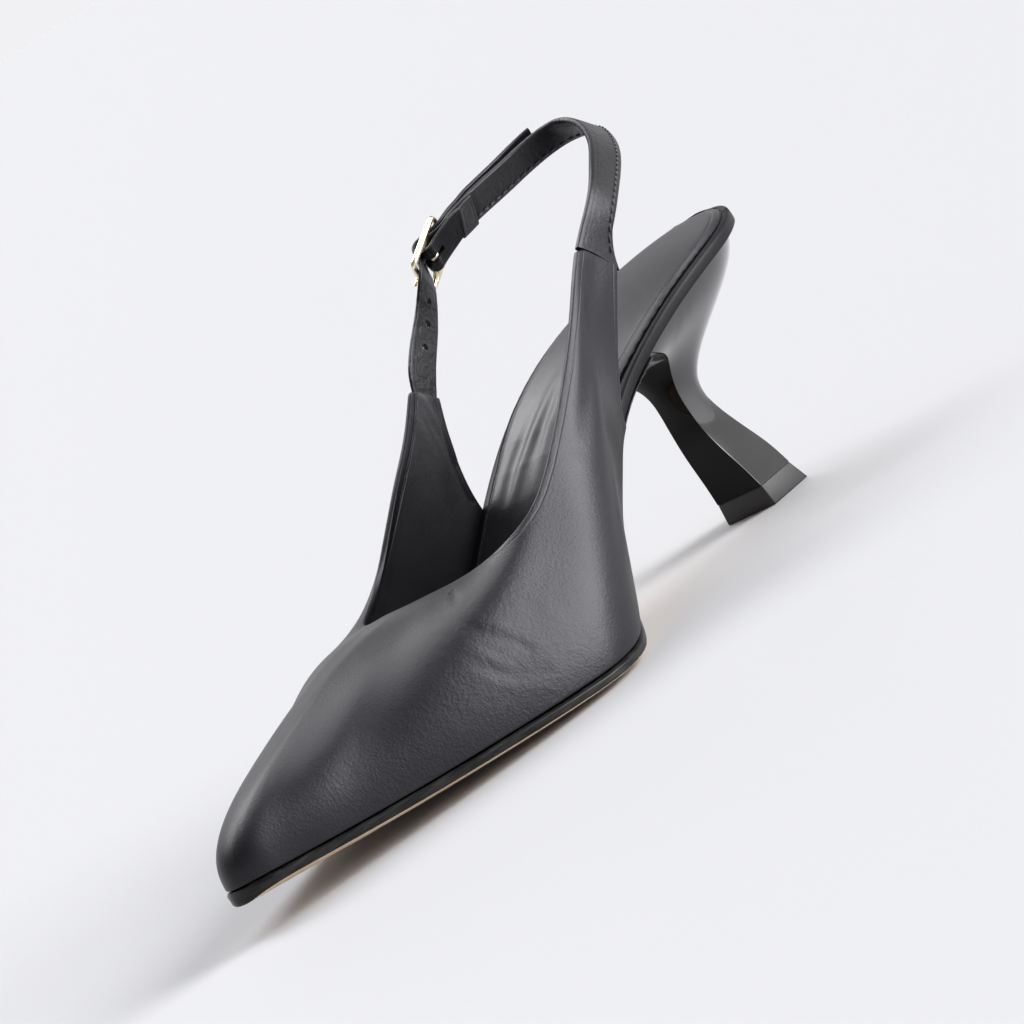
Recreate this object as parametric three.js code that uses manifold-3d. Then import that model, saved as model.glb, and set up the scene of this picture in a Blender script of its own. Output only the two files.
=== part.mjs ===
// Slingback pump for the right foot, in millimetres: z up, toe along +x, the wearer's left along +y.
// The pieces are worked out with x = 0 at the back of the heel seat and z = 0 on the floor.
import * as THREE from "three";
import { mergeVertices } from "three/addons/utils/BufferGeometryUtils.js";
import Module from "manifold-3d";

const wasm = await Module();
wasm.setup();

// Driving sizes of the last and the sole
const shoeLength = 238;
const ballWidth = 78.4;
const seatHeight = 59.3;
const toeSpring = 8;
const vampRise = 34;
const seatRound = 26;
const noseRound = 4.5;
const toeAside = -3;
const asideFrom = 0.55;

// Thicknesses and clearances
const gap = 0.3;
const seamGap = 0.25;
const upperWall = 1.5;
const outsoleThickness = 3.6;
const waistThickness = 2.0;
const outsoleLip = 0.3;
const endLength = 14;
const bevelLimit = 0.55;
const leastHalf = 0.4;
const edgeBevel = 5;
const edgeRise = 1.4;
const waistTuck = 1.0;
const soleWidens = [0.47, 0.58];
const soleThickens = [0.43, 0.57];
const seatInsole = 4.2;
const foreInsole = 2.2;
const insoleThins = [0.34, 0.5];
const sockThickness = 1.0;
const sockInset = 3.2;
const edgeRound = 0.7;
const endShare = 0.02;
const insoleBevel = 1.6;
const noseRelief = 1.2;

// Heel and top lift
const breastAt = 62;
const breastHollow = 3;
const tipBack = 27.8;
const tipLength = 15.1;
const tipWidth = 16.1;
const liftHeight = 5.5;
const seatLip = 0.5;

// Straps
const strapWidth = 8;
const strapThickness = 1.8;
const strapRise = 38;
const billetWidth = 8;
const billetThickness = 1.2;
const chapeThickness = 1.0;
const chapeLength = 7.5;
const tailLength = 34;
const tailLift = 1.2;
const holeWidth = 1.8;
const holePitch = 6.5;
const holesAhead = 3;
const holesBehind = 2;
const firstHoleAhead = 2.6;
const firstHoleBehind = 7.8;
const layerGap = 0.25;

// Buckle
const wire = 1.6;
const frameReach = 7.6;
const frameCorner = 1.6;
const frameClearance = 0.5;
const prongWire = 1.0;
const prongPlay = 0.15;
const prongTip = 1.0;
const buckleSlope = 27;
const buckleYaw = 4;
const buckleLean = 26;
const buckleAlong = 0.23;
const buckleAcross = -0.395;
const buckleRise = 0.824;

const treadTop = outsoleThickness + gap;
const up = new THREE.Vector3(0, 0, 1);

// Half widths of the insole as shares of ballWidth, and its underside: heel is a share of the
// height that the seat stands above the tread, toe a share of toeSpring.
const lastRows = [
  { along: 0.0, medial: 0.24, lateral: 0.25, heel: 1.0, toe: 0 },
  { along: 0.05, medial: 0.258, lateral: 0.263, heel: 0.981, toe: 0 },
  { along: 0.13, medial: 0.28, lateral: 0.298, heel: 0.934, toe: 0 },
  { along: 0.205, medial: 0.264, lateral: 0.333, heel: 0.866, toe: 0 },
  { along: 0.268, medial: 0.234, lateral: 0.348, heel: 0.776, toe: 0 },
  { along: 0.31, medial: 0.204, lateral: 0.359, heel: 0.69, toe: 0 },
  { along: 0.365, medial: 0.195, lateral: 0.379, heel: 0.54, toe: 0 },
  { along: 0.428, medial: 0.224, lateral: 0.409, heel: 0.345, toe: 0 },
  { along: 0.491, medial: 0.308, lateral: 0.448, heel: 0.158, toe: 0 },
  { along: 0.533, medial: 0.378, lateral: 0.472, heel: 0.06, toe: 0 },
  { along: 0.571, medial: 0.446, lateral: 0.487, heel: 0.009, toe: 0 },
  { along: 0.595, medial: 0.479, lateral: 0.492, heel: 0, toe: 0 },
  { along: 0.635, medial: 0.503, lateral: 0.492, heel: 0, toe: 0 },
  { along: 0.689, medial: 0.472, lateral: 0.459, heel: 0, toe: 0.085 },
  { along: 0.752, medial: 0.403, lateral: 0.395, heel: 0, toe: 0.22 },
  { along: 0.848, medial: 0.27, lateral: 0.266, heel: 0, toe: 0.46 },
  { along: 0.916, medial: 0.168, lateral: 0.17, heel: 0, toe: 0.68 },
  { along: 0.966, medial: 0.097, lateral: 0.096, heel: 0, toe: 0.86 },
  { along: 1.0, medial: 0.06, lateral: 0.06, heel: 0, toe: 1 },
];

// The wall of the upper from the feather line (foot) to the topline. foot is a share of the way round
// the feather line from the inner quarter's rear end to the outer one's. The topline stands at along
// (share of shoeLength), across (share of ballWidth) and rise (share of vampRise above the sole line).
// low and high lead the wall out of its foot and into the topline, and belly moves its middle, in
// shares of vampRise: forward, outward from the centre line, and upward.
const wallRows = [
  { foot: 0.0, along: 0.2505, across: 0.268, rise: 0.597,
    low: [0.07, 0.12, 0.24], high: [0.24, 0.02, -0.21], belly: [0, 0, 0] },
  { foot: 0.06, along: 0.2855, across: 0.268, rise: 0.956,
    low: [0.03, 0.2, 0.35], high: [0.3, 0.09, -0.38], belly: [0, 0, 0] },
  { foot: 0.11, along: 0.349, across: 0.31, rise: 0.956,
    low: [0.0, 0.18, 0.35], high: [0.24, 0.1, -0.38], belly: [0, 0, 0] },
  { foot: 0.18, along: 0.437, across: 0.35, rise: 1.03,
    low: [-0.06, 0.07, 0.32], high: [0.2, 0.12, -0.36], belly: [0, 0, 0] },
  { foot: 0.25, along: 0.5215, across: 0.374, rise: 1.082,
    low: [-0.09, 0.02, 0.3], high: [0.2, 0.12, -0.3], belly: [0, 0, 0] },
  { foot: 0.31, along: 0.594, across: 0.363, rise: 1.02,
    low: [-0.09, 0.02, 0.3], high: [0.3, 0.09, -0.2], belly: [0, 0, 0] },
  { foot: 0.37, along: 0.628, across: 0.262, rise: 0.947,
    low: [-0.06, 0.02, 0.32], high: [0.48, 0.1, -0.04], belly: [-0.05, 0.02, 0.05] },
  { foot: 0.43, along: 0.6375, across: 0.13, rise: 0.93,
    low: [-0.02, 0.02, 0.36], high: [0.66, 0.06, 0.04], belly: [-0.12, 0.03, 0.04] },
  { foot: 0.48, along: 0.6385, across: 0.04, rise: 0.928,
    low: [0.1, 0.06, 0.43], high: [0.72, 0.03, 0.08], belly: [-0.18, 0.02, 0.0] },
  { foot: 0.5, along: 0.638, across: -0.01, rise: 0.925,
    low: [0.15, 0.0, 0.47], high: [0.74, 0.0, 0.1], belly: [-0.21, 0, -0.03] },
  { foot: 0.52, along: 0.6375, across: -0.06, rise: 0.923,
    low: [0.1, 0.06, 0.43], high: [0.72, 0.03, 0.08], belly: [-0.18, 0.02, 0.0] },
  { foot: 0.57, along: 0.6357, across: -0.14, rise: 0.918,
    low: [-0.02, 0.02, 0.36], high: [0.66, 0.06, 0.05], belly: [-0.12, 0.04, 0.05] },
  { foot: 0.63, along: 0.622, across: -0.268, rise: 0.903,
    low: [-0.06, 0.02, 0.32], high: [0.49, 0.14, -0.01], belly: [-0.05, 0.05, 0.07] },
  { foot: 0.69, along: 0.5735, across: -0.357, rise: 0.95,
    low: [-0.09, 0.02, 0.3], high: [0.33, 0.14, -0.1], belly: [0, 0.03, 0.03] },
  { foot: 0.75, along: 0.5147, across: -0.4, rise: 0.985,
    low: [-0.09, 0.02, 0.3], high: [0.2, 0.1, -0.25], belly: [0, 0, 0] },
  { foot: 0.82, along: 0.45, across: -0.402, rise: 1.0,
    low: [-0.06, 0.02, 0.3], high: [0.15, 0.06, -0.3], belly: [0, 0, 0] },
  { foot: 0.89, along: 0.4, across: -0.386, rise: 1.005,
    low: [0.0, 0.03, 0.32], high: [0.16, 0.03, -0.33], belly: [0, 0, 0] },
  { foot: 0.94, along: 0.37, across: -0.374, rise: 1.053,
    low: [0.02, 0.03, 0.3], high: [0.2, 0.02, -0.35], belly: [0, 0, 0] },
  { foot: 1.0, along: 0.3405, across: -0.379, rise: 0.747,
    low: [0.03, 0.01, 0.26], high: [0.1, 0.01, -0.24], belly: [0, 0, 0] },
];
const medialRearFoot = 0.3366;
const lateralRearFoot = 0.358;

// The sling's middle line as it hangs: shares of shoeLength and ballWidth, and of strapRise above the
// seat. lean, in degrees, tips its top edge toward the leg.
const slingRows = [
  { along: 0.2282, across: 0.259, rise: 0.568, lean: 12 },
  { along: 0.1702, across: 0.202, rise: 0.729, lean: 26 },
  { along: 0.1197, across: 0.117, rise: 0.824, lean: 36 },
  { along: 0.0735, across: 0.004, rise: 0.905, lean: 40 },
  { along: 0.042, across: -0.115, rise: 0.971, lean: 38 },
  { along: 0.0361, across: -0.214, rise: 1, lean: 34 },
  { along: 0.0588, across: -0.288, rise: 0.989, lean: 30 },
  { along: 0.0966, across: -0.329, rise: 0.958, lean: 27 },
  { along: 0.1471, across: -0.352, rise: 0.929, lean: 26 },
];

// Where the billet's middle line passes between its seam and the buckle, in the same shares. turn is how
// far it has turned from the seam's way across to the buckle's.
const billetRow = { along: 0.286, across: -0.393, rise: 0.524, turn: 0.4 };

// Sections of the heel from the lift to the seat. height is a share of that way, back and front are
// shares of tipLength from the back of the tip, half a share of tipWidth. squareBack and squareFront run
// from 0, round, to 1, square. seat is how far the section has the seat's outline, and slant how far it
// follows the seat's slope.
const heelRows = [
  { height: 0.0, back: 0.146, front: 1.007, half: 0.46, squareBack: 1, squareFront: 1, seat: 0, slant: 0 },
  { height: 0.135, back: 0.26, front: 1.09, half: 0.4, squareBack: 1, squareFront: 1, seat: 0, slant: 0 },
  { height: 0.3, back: 0.48, front: 1.22, half: 0.33,
    squareBack: 0.95, squareFront: 0.95, seat: 0, slant: 0 },
  { height: 0.426, back: 0.6, front: 1.27, half: 0.29,
    squareBack: 0.7, squareFront: 0.9, seat: 0, slant: 0 },
  { height: 0.53, back: 0.62, front: 1.285, half: 0.28,
    squareBack: 0.35, squareFront: 0.8, seat: 0, slant: 0 },
  { height: 0.634, back: 0.4, front: 1.31, half: 0.32,
    squareBack: 0.1, squareFront: 0.65, seat: 0, slant: 0.1 },
  { height: 0.737, back: -0.24, front: 1.4, half: 0.53,
    squareBack: 0, squareFront: 0.5, seat: 0.2, slant: 0.35 },
  { height: 0.81, back: -0.86, front: 1.52, half: 0.8,
    squareBack: 0, squareFront: 0.5, seat: 0.5, slant: 0.6 },
  { height: 0.88, back: -1.42, front: 1.72, half: 1.08,
    squareBack: 0, squareFront: 0.5, seat: 0.8, slant: 0.85 },
  { height: 0.945, back: -1.7, front: 1.94, half: 1.26,
    squareBack: 0, squareFront: 0.5, seat: 0.95, slant: 0.97 },
  { height: 1.0, back: -1.8, front: 2.13, half: 1.34, squareBack: 0, squareFront: 0.5, seat: 1, slant: 1 },
];

function clamp(value, low, high) {
  return Math.min(high, Math.max(low, value));
}

function mix(from, to, share) {
  return from + (to - from) * share;
}

function ease(from, to, at) {
  const t = clamp((at - from) / (to - from), 0, 1);
  return t * t * (3 - 2 * t);
}

// A curve through the rows that never swings past them, so that level rows stay level.
function steady(rows, key, column) {
  const at = rows.map((row) => row[key]);
  const value = rows.map((row) => row[column]);
  const rate = at.slice(1).map((next, i) => (value[i + 1] - value[i]) / (next - at[i]));
  const slope = at.map((_, i) => {
    const before = rate[Math.max(i - 1, 0)];
    const after = rate[Math.min(i, rate.length - 1)];
    return before * after <= 0 ? 0 : (2 * before * after) / (before + after);
  });
  return (where) => {
    const x = clamp(where, at[0], at[at.length - 1]);
    const i = Math.max(0, at.findIndex((a, k) => k > 0 && x <= a) - 1);
    const width = at[i + 1] - at[i];
    const t = (x - at[i]) / width;
    const rest = 1 - t;
    return (
      rest * rest * (1 + 2 * t) * value[i] +
      t * t * (3 - 2 * t) * value[i + 1] +
      t * rest * rest * width * slope[i] -
      t * t * rest * width * slope[i + 1]
    );
  };
}

// A curve through the values with even bending, worked out once and read at any place.
function supple(at, value) {
  const last = at.length - 1;
  const bend = new Array(at.length).fill(0);
  const share = new Array(at.length).fill(0);
  const load = new Array(at.length).fill(0);
  for (let i = 1; i < last; i += 1) {
    const before = at[i] - at[i - 1];
    const after = at[i + 1] - at[i];
    const pull = 6 * ((value[i + 1] - value[i]) / after - (value[i] - value[i - 1]) / before);
    const own = 2 * (before + after) - before * share[i - 1];
    share[i] = after / own;
    load[i] = (pull - before * load[i - 1]) / own;
  }
  for (let i = last - 1; i > 0; i -= 1) {
    bend[i] = load[i] - share[i] * bend[i + 1];
  }
  return (where) => {
    const x = clamp(where, at[0], at[last]);
    const i = Math.max(0, at.findIndex((a, k) => k > 0 && x <= a) - 1);
    const width = at[i + 1] - at[i];
    const b = (x - at[i]) / width;
    const a = 1 - b;
    const sag = ((a * a * a - a) * bend[i] + (b * b * b - b) * bend[i + 1]) * (width * width) / 6;
    return a * value[i] + b * value[i + 1] + sag;
  };
}

// The last's outline and sole line
const medialShare = steady(lastRows, "along", "medial");
const lateralShare = steady(lastRows, "along", "lateral");
const heelShare = steady(lastRows, "along", "heel");
const toeShare = steady(lastRows, "along", "toe");

function soleLine(x) {
  const along = x / shoeLength;
  return treadTop + (seatHeight - treadTop) * heelShare(along) + toeSpring * toeShare(along);
}

function insoleThickness(x) {
  return mix(seatInsole, foreInsole, ease(...insoleThins, x / shoeLength));
}

function outlinePoint(share, side) {
  const x = shoeLength * (1 - Math.cos(Math.PI * share)) / 2;
  const wide = (side > 0 ? medialShare : lateralShare)(x / shoeLength) * ballWidth;
  const heelCap = Math.sqrt(1 - (1 - Math.min(x / seatRound, 1)) ** 2);
  const noseCap = Math.sqrt(1 - (1 - Math.min((shoeLength - x) / noseRound, 1)) ** 2);
  const aside = toeAside * Math.max(0, (x / shoeLength - asideFrom) / (1 - asideFrom)) ** 2;
  return new THREE.Vector2(x, side * wide * Math.min(heelCap, noseCap) + aside);
}

const outlineSteps = 240;

// One side of the outline, from heel to toe, moved outward by a distance.
function outlineSide(side, outward) {
  const steps = outlineSteps;
  const line = [];
  for (let i = 0; i <= steps; i += 1) {
    const point = outlinePoint(i / steps, side);
    const before = outlinePoint(Math.max(i - 1, 0) / steps, side);
    const after = outlinePoint(Math.min(i + 1, steps) / steps, side);
    const run = after.sub(before).normalize();
    if (i === 0 || i === steps) {
      run.set(0, i === 0 ? side : -side);
    }
    line.push(point.add(new THREE.Vector2(-run.y, run.x).multiplyScalar(side * outward)));
  }
  return line;
}

// Where a line stands at x, read between its points.
function readLine(line, x) {
  const i = clamp(line.findIndex((point) => point.x >= x), 1, line.length - 1);
  const from = line[i - 1];
  const to = line[i];
  return mix(from.y, to.y, clamp((x - from.x) / (to.x - from.x || 1), 0, 1));
}

// Closed solids from rings of points: every ring has as many points as the next. The ends are filled
// from one corner, or in strips from side to side.
function ringSolid(rings, { closed = false, strips = false } = {}) {
  const count = rings[0].length;
  const position = rings.flat().flatMap((point) => [point.x, point.y, point.z]);
  const index = [];
  const turns = closed ? rings.length : rings.length - 1;
  for (let i = 0; i < turns; i += 1) {
    const here = i * count;
    const next = ((i + 1) % rings.length) * count;
    for (let j = 0; j < count; j += 1) {
      const side = (j + 1) % count;
      index.push(here + j, next + j, next + side, here + j, next + side, here + side);
    }
  }
  if (!closed) {
    const end = (rings.length - 1) * count;
    for (let j = 1; j < count - 1; j += 1) {
      const near = strips ? stripCorners(j, count) : [0, j, j + 1];
      index.push(...near);
      index.push(end + near[0], end + near[2], end + near[1]);
    }
  }
  return asGeometry(position, index);
}

// The corners of triangle j when a ring is filled from its first edge in strips from side to side.
function stripCorners(j, count) {
  const step = Math.floor((j - 1) / 2);
  const left = (count - step) % count;
  const right = step + 1;
  return j % 2 === 1 ? [left, right, right + 1] : [left, right + 1, left === 0 ? count - 1 : left - 1];
}

// A wall between two grids of the same size, closed along its four edges.
function wallSolid(outer, inner) {
  const across = outer[0].length;
  const total = outer.length * across;
  const position = [...outer.flat(), ...inner.flat()].flatMap((point) => [point.x, point.y, point.z]);
  const index = [];
  const quad = (a, b, c, d) => index.push(a, b, c, a, c, d);
  for (let i = 0; i < outer.length - 1; i += 1) {
    for (let j = 0; j < across - 1; j += 1) {
      const a = i * across + j;
      quad(a, a + across, a + across + 1, a + 1);
      quad(total + a + 1, total + a + across + 1, total + a + across, total + a);
    }
    const low = i * across;
    const high = low + across - 1;
    quad(low, total + low, total + low + across, low + across);
    quad(high + across, total + high + across, total + high, high);
  }
  for (let j = 0; j < across - 1; j += 1) {
    const end = (outer.length - 1) * across + j;
    quad(j + 1, total + j + 1, total + j, j);
    quad(end, total + end, total + end + 1, end + 1);
  }
  return asGeometry(position, index);
}

// Faces are turned so that the solid's volume counts as positive.
function asGeometry(position, index) {
  let volume = 0;
  const corner = (i) => new THREE.Vector3(position[3 * i], position[3 * i + 1], position[3 * i + 2]);
  for (let i = 0; i < index.length; i += 3) {
    const [a, b, c] = [corner(index[i]), corner(index[i + 1]), corner(index[i + 2])];
    volume += a.dot(b.cross(c));
  }
  const faces = volume < 0 ? index.slice().reverse() : index;
  const geometry = new THREE.BufferGeometry();
  geometry.setAttribute("position", new THREE.Float32BufferAttribute(position, 3));
  geometry.setIndex(faces);
  geometry.computeVertexNormals();
  return geometry;
}

function toManifold(geometry) {
  return new wasm.Manifold(
    new wasm.Mesh({
      numProp: 3,
      vertProperties: new Float32Array(geometry.attributes.position.array),
      triVerts: new Uint32Array(geometry.index.array),
    })
  );
}

function fromManifold(solid) {
  const mesh = solid.getMesh();
  return asGeometry(Array.from(mesh.vertProperties), Array.from(mesh.triVerts));
}

// Sole pieces lie along the sole line, as a row of sections across x. bottom and top give the heights,
// edge the outline, and bevel and rise the slope by which the underside meets the edge, at the ends too.
function soleSolid({ from, to, steps, bottom, top, edge, bevel, rise }) {
  const rings = [];
  for (let i = 0; i <= steps; i += 1) {
    const share = (1 - Math.cos(Math.PI * mix(endShare, 1 - endShare, i / steps))) / 2;
    const x = mix(from, to, share);
    const low = bottom(x);
    const high = top(x);
    const left = readLine(edge.medial, x);
    const right = readLine(edge.lateral, x);
    const middle = (left + right) / 2;
    const half = Math.max(leastHalf, (left - right) / 2);
    const inset = Math.min(bevel, bevelLimit * half);
    const lift = (rise * inset) / bevel;
    const round = Math.min(edgeRound, (high - low - lift) / 2, half / 2);
    const lead = bevel * ((1 - ease(0, endLength, x - from)) - (1 - ease(0, endLength, to - x)));
    const point = (side, inward, z) => new THREE.Vector3(x, middle + side * (half - inward), z);
    const under = (side) => point(side, inset, bottom(x + lead)).setX(x + lead);
    rings.push([
      under(-1),
      under(1),
      point(1, 0, low + lift),
      point(1, 0, high - round),
      point(1, round, high),
      point(-1, round, high),
      point(-1, 0, high - round),
      point(-1, 0, low + lift),
    ]);
  }
  return ringSolid(rings, { strips: true });
}

function edgeLines(outward) {
  return { medial: outlineSide(1, outward), lateral: outlineSide(-1, outward) };
}

// Outsole: as wide as the upper from the quarters forward, tucked under the insole at the waist.
function outsole() {
  const wide = edgeLines(gap + upperWall + outsoleLip);
  const narrow = edgeLines(-waistTuck);
  const blend = (name) =>
    wide[name].map((point) => {
      const share = ease(...soleWidens, point.x / shoeLength);
      return new THREE.Vector2(point.x, mix(readLine(narrow[name], point.x), point.y, share));
    });
  return soleSolid({
    from: breastAt + gap,
    to: shoeLength + gap + upperWall + outsoleLip,
    steps: 46,
    bottom: (x) => {
      const thick = mix(waistThickness, outsoleThickness, ease(...soleThickens, x / shoeLength));
      return soleLine(x) - gap - thick;
    },
    top: (x) => soleLine(x) - gap,
    edge: { medial: blend("medial"), lateral: blend("lateral") },
    bevel: edgeBevel,
    rise: edgeRise,
  });
}

function insole() {
  return soleSolid({
    from: 0,
    to: shoeLength - noseRelief,
    steps: 48,
    bottom: soleLine,
    top: (x) => soleLine(x) + insoleThickness(x),
    edge: edgeLines(0),
    bevel: insoleBevel,
    rise: insoleBevel / 2,
  });
}

function sock() {
  const rest = (x) => soleLine(x) + insoleThickness(x) + gap;
  return soleSolid({
    from: sockInset,
    to: shoeLength - 3 * sockInset,
    steps: 42,
    bottom: rest,
    top: (x) => rest(x) + sockThickness,
    edge: edgeLines(-sockInset),
    bevel: edgeRound / 2,
    rise: 0,
  });
}

// The feather line: round the last from the inner quarter's rear end, past the toe, to the outer one's.
function featherLine(outward) {
  const medial = outlineSide(1, outward).filter((point) => point.x >= medialRearFoot * shoeLength);
  const lateral = outlineSide(-1, outward).filter((point) => point.x >= lateralRearFoot * shoeLength);
  const line = [...medial, ...lateral.reverse().slice(1)];
  const reach = [0];
  for (let i = 1; i < line.length; i += 1) {
    reach.push(reach[i - 1] + line[i].distanceTo(line[i - 1]));
  }
  const total = reach[reach.length - 1];
  return (share) => {
    const at = clamp(share, 0, 1) * total;
    const i = Math.max(1, reach.findIndex((r) => r >= at));
    const t = (at - reach[i - 1]) / (reach[i] - reach[i - 1]);
    const flat = line[i - 1].clone().lerp(line[i], t);
    return new THREE.Vector3(flat.x, flat.y, soleLine(clamp(flat.x, 0, shoeLength)));
  };
}

// Rows are read smoothly between the two seams, and straight across each seam's end.
function wallReader() {
  const inside = wallRows.slice(1, -1);
  const foot = inside.map((row) => row.foot);
  const pick = (read) => {
    const curve = supple(foot, inside.map(read));
    const first = wallRows[0];
    const last = wallRows[wallRows.length - 1];
    return (share) => {
      if (share < foot[0]) {
        return mix(read(first), read(inside[0]), share / foot[0]);
      }
      const end = foot[foot.length - 1];
      if (share > end) {
        return mix(read(inside[inside.length - 1]), read(last), (share - end) / (1 - end));
      }
      return curve(share);
    };
  };
  return {
    along: pick((row) => row.along),
    across: pick((row) => row.across),
    rise: pick((row) => row.rise),
    low: [0, 1, 2].map((axis) => pick((row) => row.low[axis])),
    high: [0, 1, 2].map((axis) => pick((row) => row.high[axis])),
    belly: [0, 1, 2].map((axis) => pick((row) => row.belly[axis])),
  };
}

const wall = wallReader();
const featherOut = featherLine(gap + upperWall);
const featherIn = featherLine(gap);

function toplinePoint(share) {
  const x = wall.along(share) * shoeLength;
  return new THREE.Vector3(x, wall.across(share) * ballWidth, soleLine(x) + wall.rise(share) * vampRise);
}

const sideReach = 8;

function wallPoint(share, height) {
  const foot = featherOut(share);
  const top = toplinePoint(share);
  const side = clamp(top.y / sideReach, -1, 1);
  const lead = (axes) => new THREE.Vector3(axes[0](share), side * axes[1](share), axes[2](share));
  const low = lead(wall.low).multiplyScalar(vampRise).add(foot);
  const high = lead(wall.high).multiplyScalar(vampRise).add(top);
  const belly = lead(wall.belly).multiplyScalar(vampRise).add(low.clone().lerp(high, 0.5));
  const t = height;
  const s = 1 - t;
  return foot
    .multiplyScalar(s ** 4)
    .addScaledVector(low, 4 * s ** 3 * t)
    .addScaledVector(belly, 6 * s ** 2 * t ** 2)
    .addScaledVector(high, 4 * s * t ** 3)
    .addScaledVector(top, t ** 4);
}

const normalStep = 0.002;

function wallNormal(share, height) {
  const step = normalStep;
  const s = [Math.max(share - step, 0), Math.min(share + step, 1)];
  const h = [Math.max(height - step, 0), Math.min(height + step, 1)];
  const along = wallPoint(s[1], height).sub(wallPoint(s[0], height));
  const upward = wallPoint(share, h[1]).sub(wallPoint(share, h[0]));
  return upward.cross(along).normalize();
}

const wallStations = 88;
const wallHeights = 10;
const toeCrowding = 1.4;

function upper() {
  const outer = [];
  const inner = [];
  for (let i = 0; i <= wallStations; i += 1) {
    const fromToe = (2 * i) / wallStations - 1;
    const share = (1 + Math.sign(fromToe) * Math.abs(fromToe) ** toeCrowding) / 2;
    const outerRow = [];
    const innerRow = [];
    for (let j = 0; j <= wallHeights; j += 1) {
      const height = j / wallHeights;
      const point = wallPoint(share, height);
      outerRow.push(point);
      innerRow.push(
        j === 0 ? featherIn(share) : point.clone().addScaledVector(wallNormal(share, height), -upperWall)
      );
    }
    outer.push(outerRow);
    inner.push(innerRow);
  }
  return wallSolid(outer, inner);
}

// The heel's seat, as seen from below, round from the breast's inner corner by way of the back. The
// outline is given about its own middle, in shares of its half length and half width.
function seatShape(turn) {
  const medial = edgeLines(-seatLip).medial.filter((point) => point.x <= breastAt);
  const lateral = edgeLines(-seatLip).lateral.filter((point) => point.x <= breastAt);
  const round = [...medial.reverse(), ...lateral];
  const reach = [0];
  for (let i = 1; i < round.length; i += 1) {
    reach.push(reach[i - 1] + round[i].distanceTo(round[i - 1]));
  }
  const first = round[0];
  const last = round[round.length - 1];
  const half = Math.max(...round.map((point) => Math.abs(point.y)));
  const middle = breastAt / 2;
  const quarter = Math.PI / 4;
  const point = new THREE.Vector2();
  if (turn <= quarter || turn >= 7 * quarter) {
    const across = Math.tan(turn);
    point.set(breastAt - breastHollow * (1 - across * across), mix(last.y, first.y, (across + 1) / 2));
  } else {
    const at = ((turn - quarter) / (6 * quarter)) * reach[reach.length - 1];
    const i = Math.max(1, reach.findIndex((r) => r >= at));
    point.copy(round[i - 1]).lerp(round[i], (at - reach[i - 1]) / (reach[i] - reach[i - 1]));
  }
  return new THREE.Vector2((point.x - middle) / middle, point.y / half);
}

const holeSides = 12;
const heelTurns = 40;
const heelSteps = 20;
const sideBlend = 0.3;

function heel() {
  const height = heelRows.map((row) => row.height);
  const even = (column) => supple(height, heelRows.map((row) => row[column]));
  const level = (column) => steady(heelRows, "height", column);
  const [back, front, half] = [even("back"), even("front"), even("half")];
  const [squareBack, squareFront] = [level("squareBack"), level("squareFront")];
  const [seat, slant] = [level("seat"), level("slant")];
  const seatRing = [];
  for (let j = 0; j < heelTurns; j += 1) {
    seatRing.push(seatShape((2 * Math.PI * j) / heelTurns));
  }
  const rings = [];
  for (let i = 0; i <= heelSteps; i += 1) {
    const h = i / heelSteps;
    const from = tipBack + back(h) * tipLength;
    const to = tipBack + front(h) * tipLength;
    const middle = (from + to) / 2;
    const base = liftHeight + h * (soleLine(middle) - gap - liftHeight);
    const ring = seatRing.map((onSeat, j) => {
      const turn = (2 * Math.PI * j) / heelTurns;
      const [c, s] = [Math.cos(turn), Math.sin(turn)];
      const square = mix(squareBack(h), squareFront(h), ease(-sideBlend, sideBlend, c));
      const size = Math.max(Math.abs(c), Math.abs(s)) ** square;
      const x = middle + ((to - from) / 2) * mix(c / size, onSeat.x, seat(h));
      const y = half(h) * tipWidth * mix(s / size, onSeat.y, seat(h));
      return new THREE.Vector3(x, y, base + slant(h) * (soleLine(Math.max(x, 0)) - soleLine(middle)));
    });
    rings.push(ring);
  }
  return ringSolid(rings);
}

function topLift() {
  const bottom = heelRows[0];
  const corners = (back, front, half, z) =>
    [[back, half], [back, -half], [front, -half], [front, half]].map(
      ([along, across]) => new THREE.Vector3(tipBack + along * tipLength, across * tipWidth, z)
    );
  return ringSolid([corners(0, 1, 0.5, 0), corners(bottom.back, bottom.front, bottom.half, liftHeight)]);
}

const cornerTrim = 0.45;

// A flat band along a row of stations, each with its point, the way across, and its two sizes.
function band(stations) {
  const rings = stations.map((station, i) => {
    const before = stations[Math.max(i - 1, 0)].point;
    const after = stations[Math.min(i + 1, stations.length - 1)].point;
    const run = after.clone().sub(before).normalize();
    const across = station.across.clone();
    if (!station.out) {
      across.addScaledVector(run, -across.dot(run)).normalize();
    }
    const out = station.out ?? run.clone().cross(across);
    const [w, t] = [station.width / 2, station.thickness / 2];
    const corner = (a, b) => station.point.clone().addScaledVector(across, a).addScaledVector(out, b);
    const trim = cornerTrim * t;
    return [
      corner(w - trim, t), corner(w, t - trim), corner(w, trim - t), corner(w - trim, -t),
      corner(trim - w, -t), corner(-w, trim - t), corner(-w, t - trim), corner(trim - w, t),
    ];
  });
  return ringSolid(rings);
}

// The buckle's own place: ahead along the strap, across it, and outward from the foot.
const slope = THREE.MathUtils.degToRad(buckleSlope);
const yaw = THREE.MathUtils.degToRad(buckleYaw);
const ahead = new THREE.Vector3(
  Math.cos(slope) * Math.cos(yaw), -Math.cos(slope) * Math.sin(yaw), -Math.sin(slope)
);
const upright = up.clone().addScaledVector(ahead, -up.dot(ahead)).normalize();
const crosswise = upright.applyAxisAngle(ahead, -THREE.MathUtils.degToRad(buckleLean));
const outward = ahead.clone().cross(crosswise);
const barMiddle = new THREE.Vector3(
  buckleAlong * shoeLength, buckleAcross * ballWidth, seatHeight + buckleRise * strapRise
);

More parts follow.
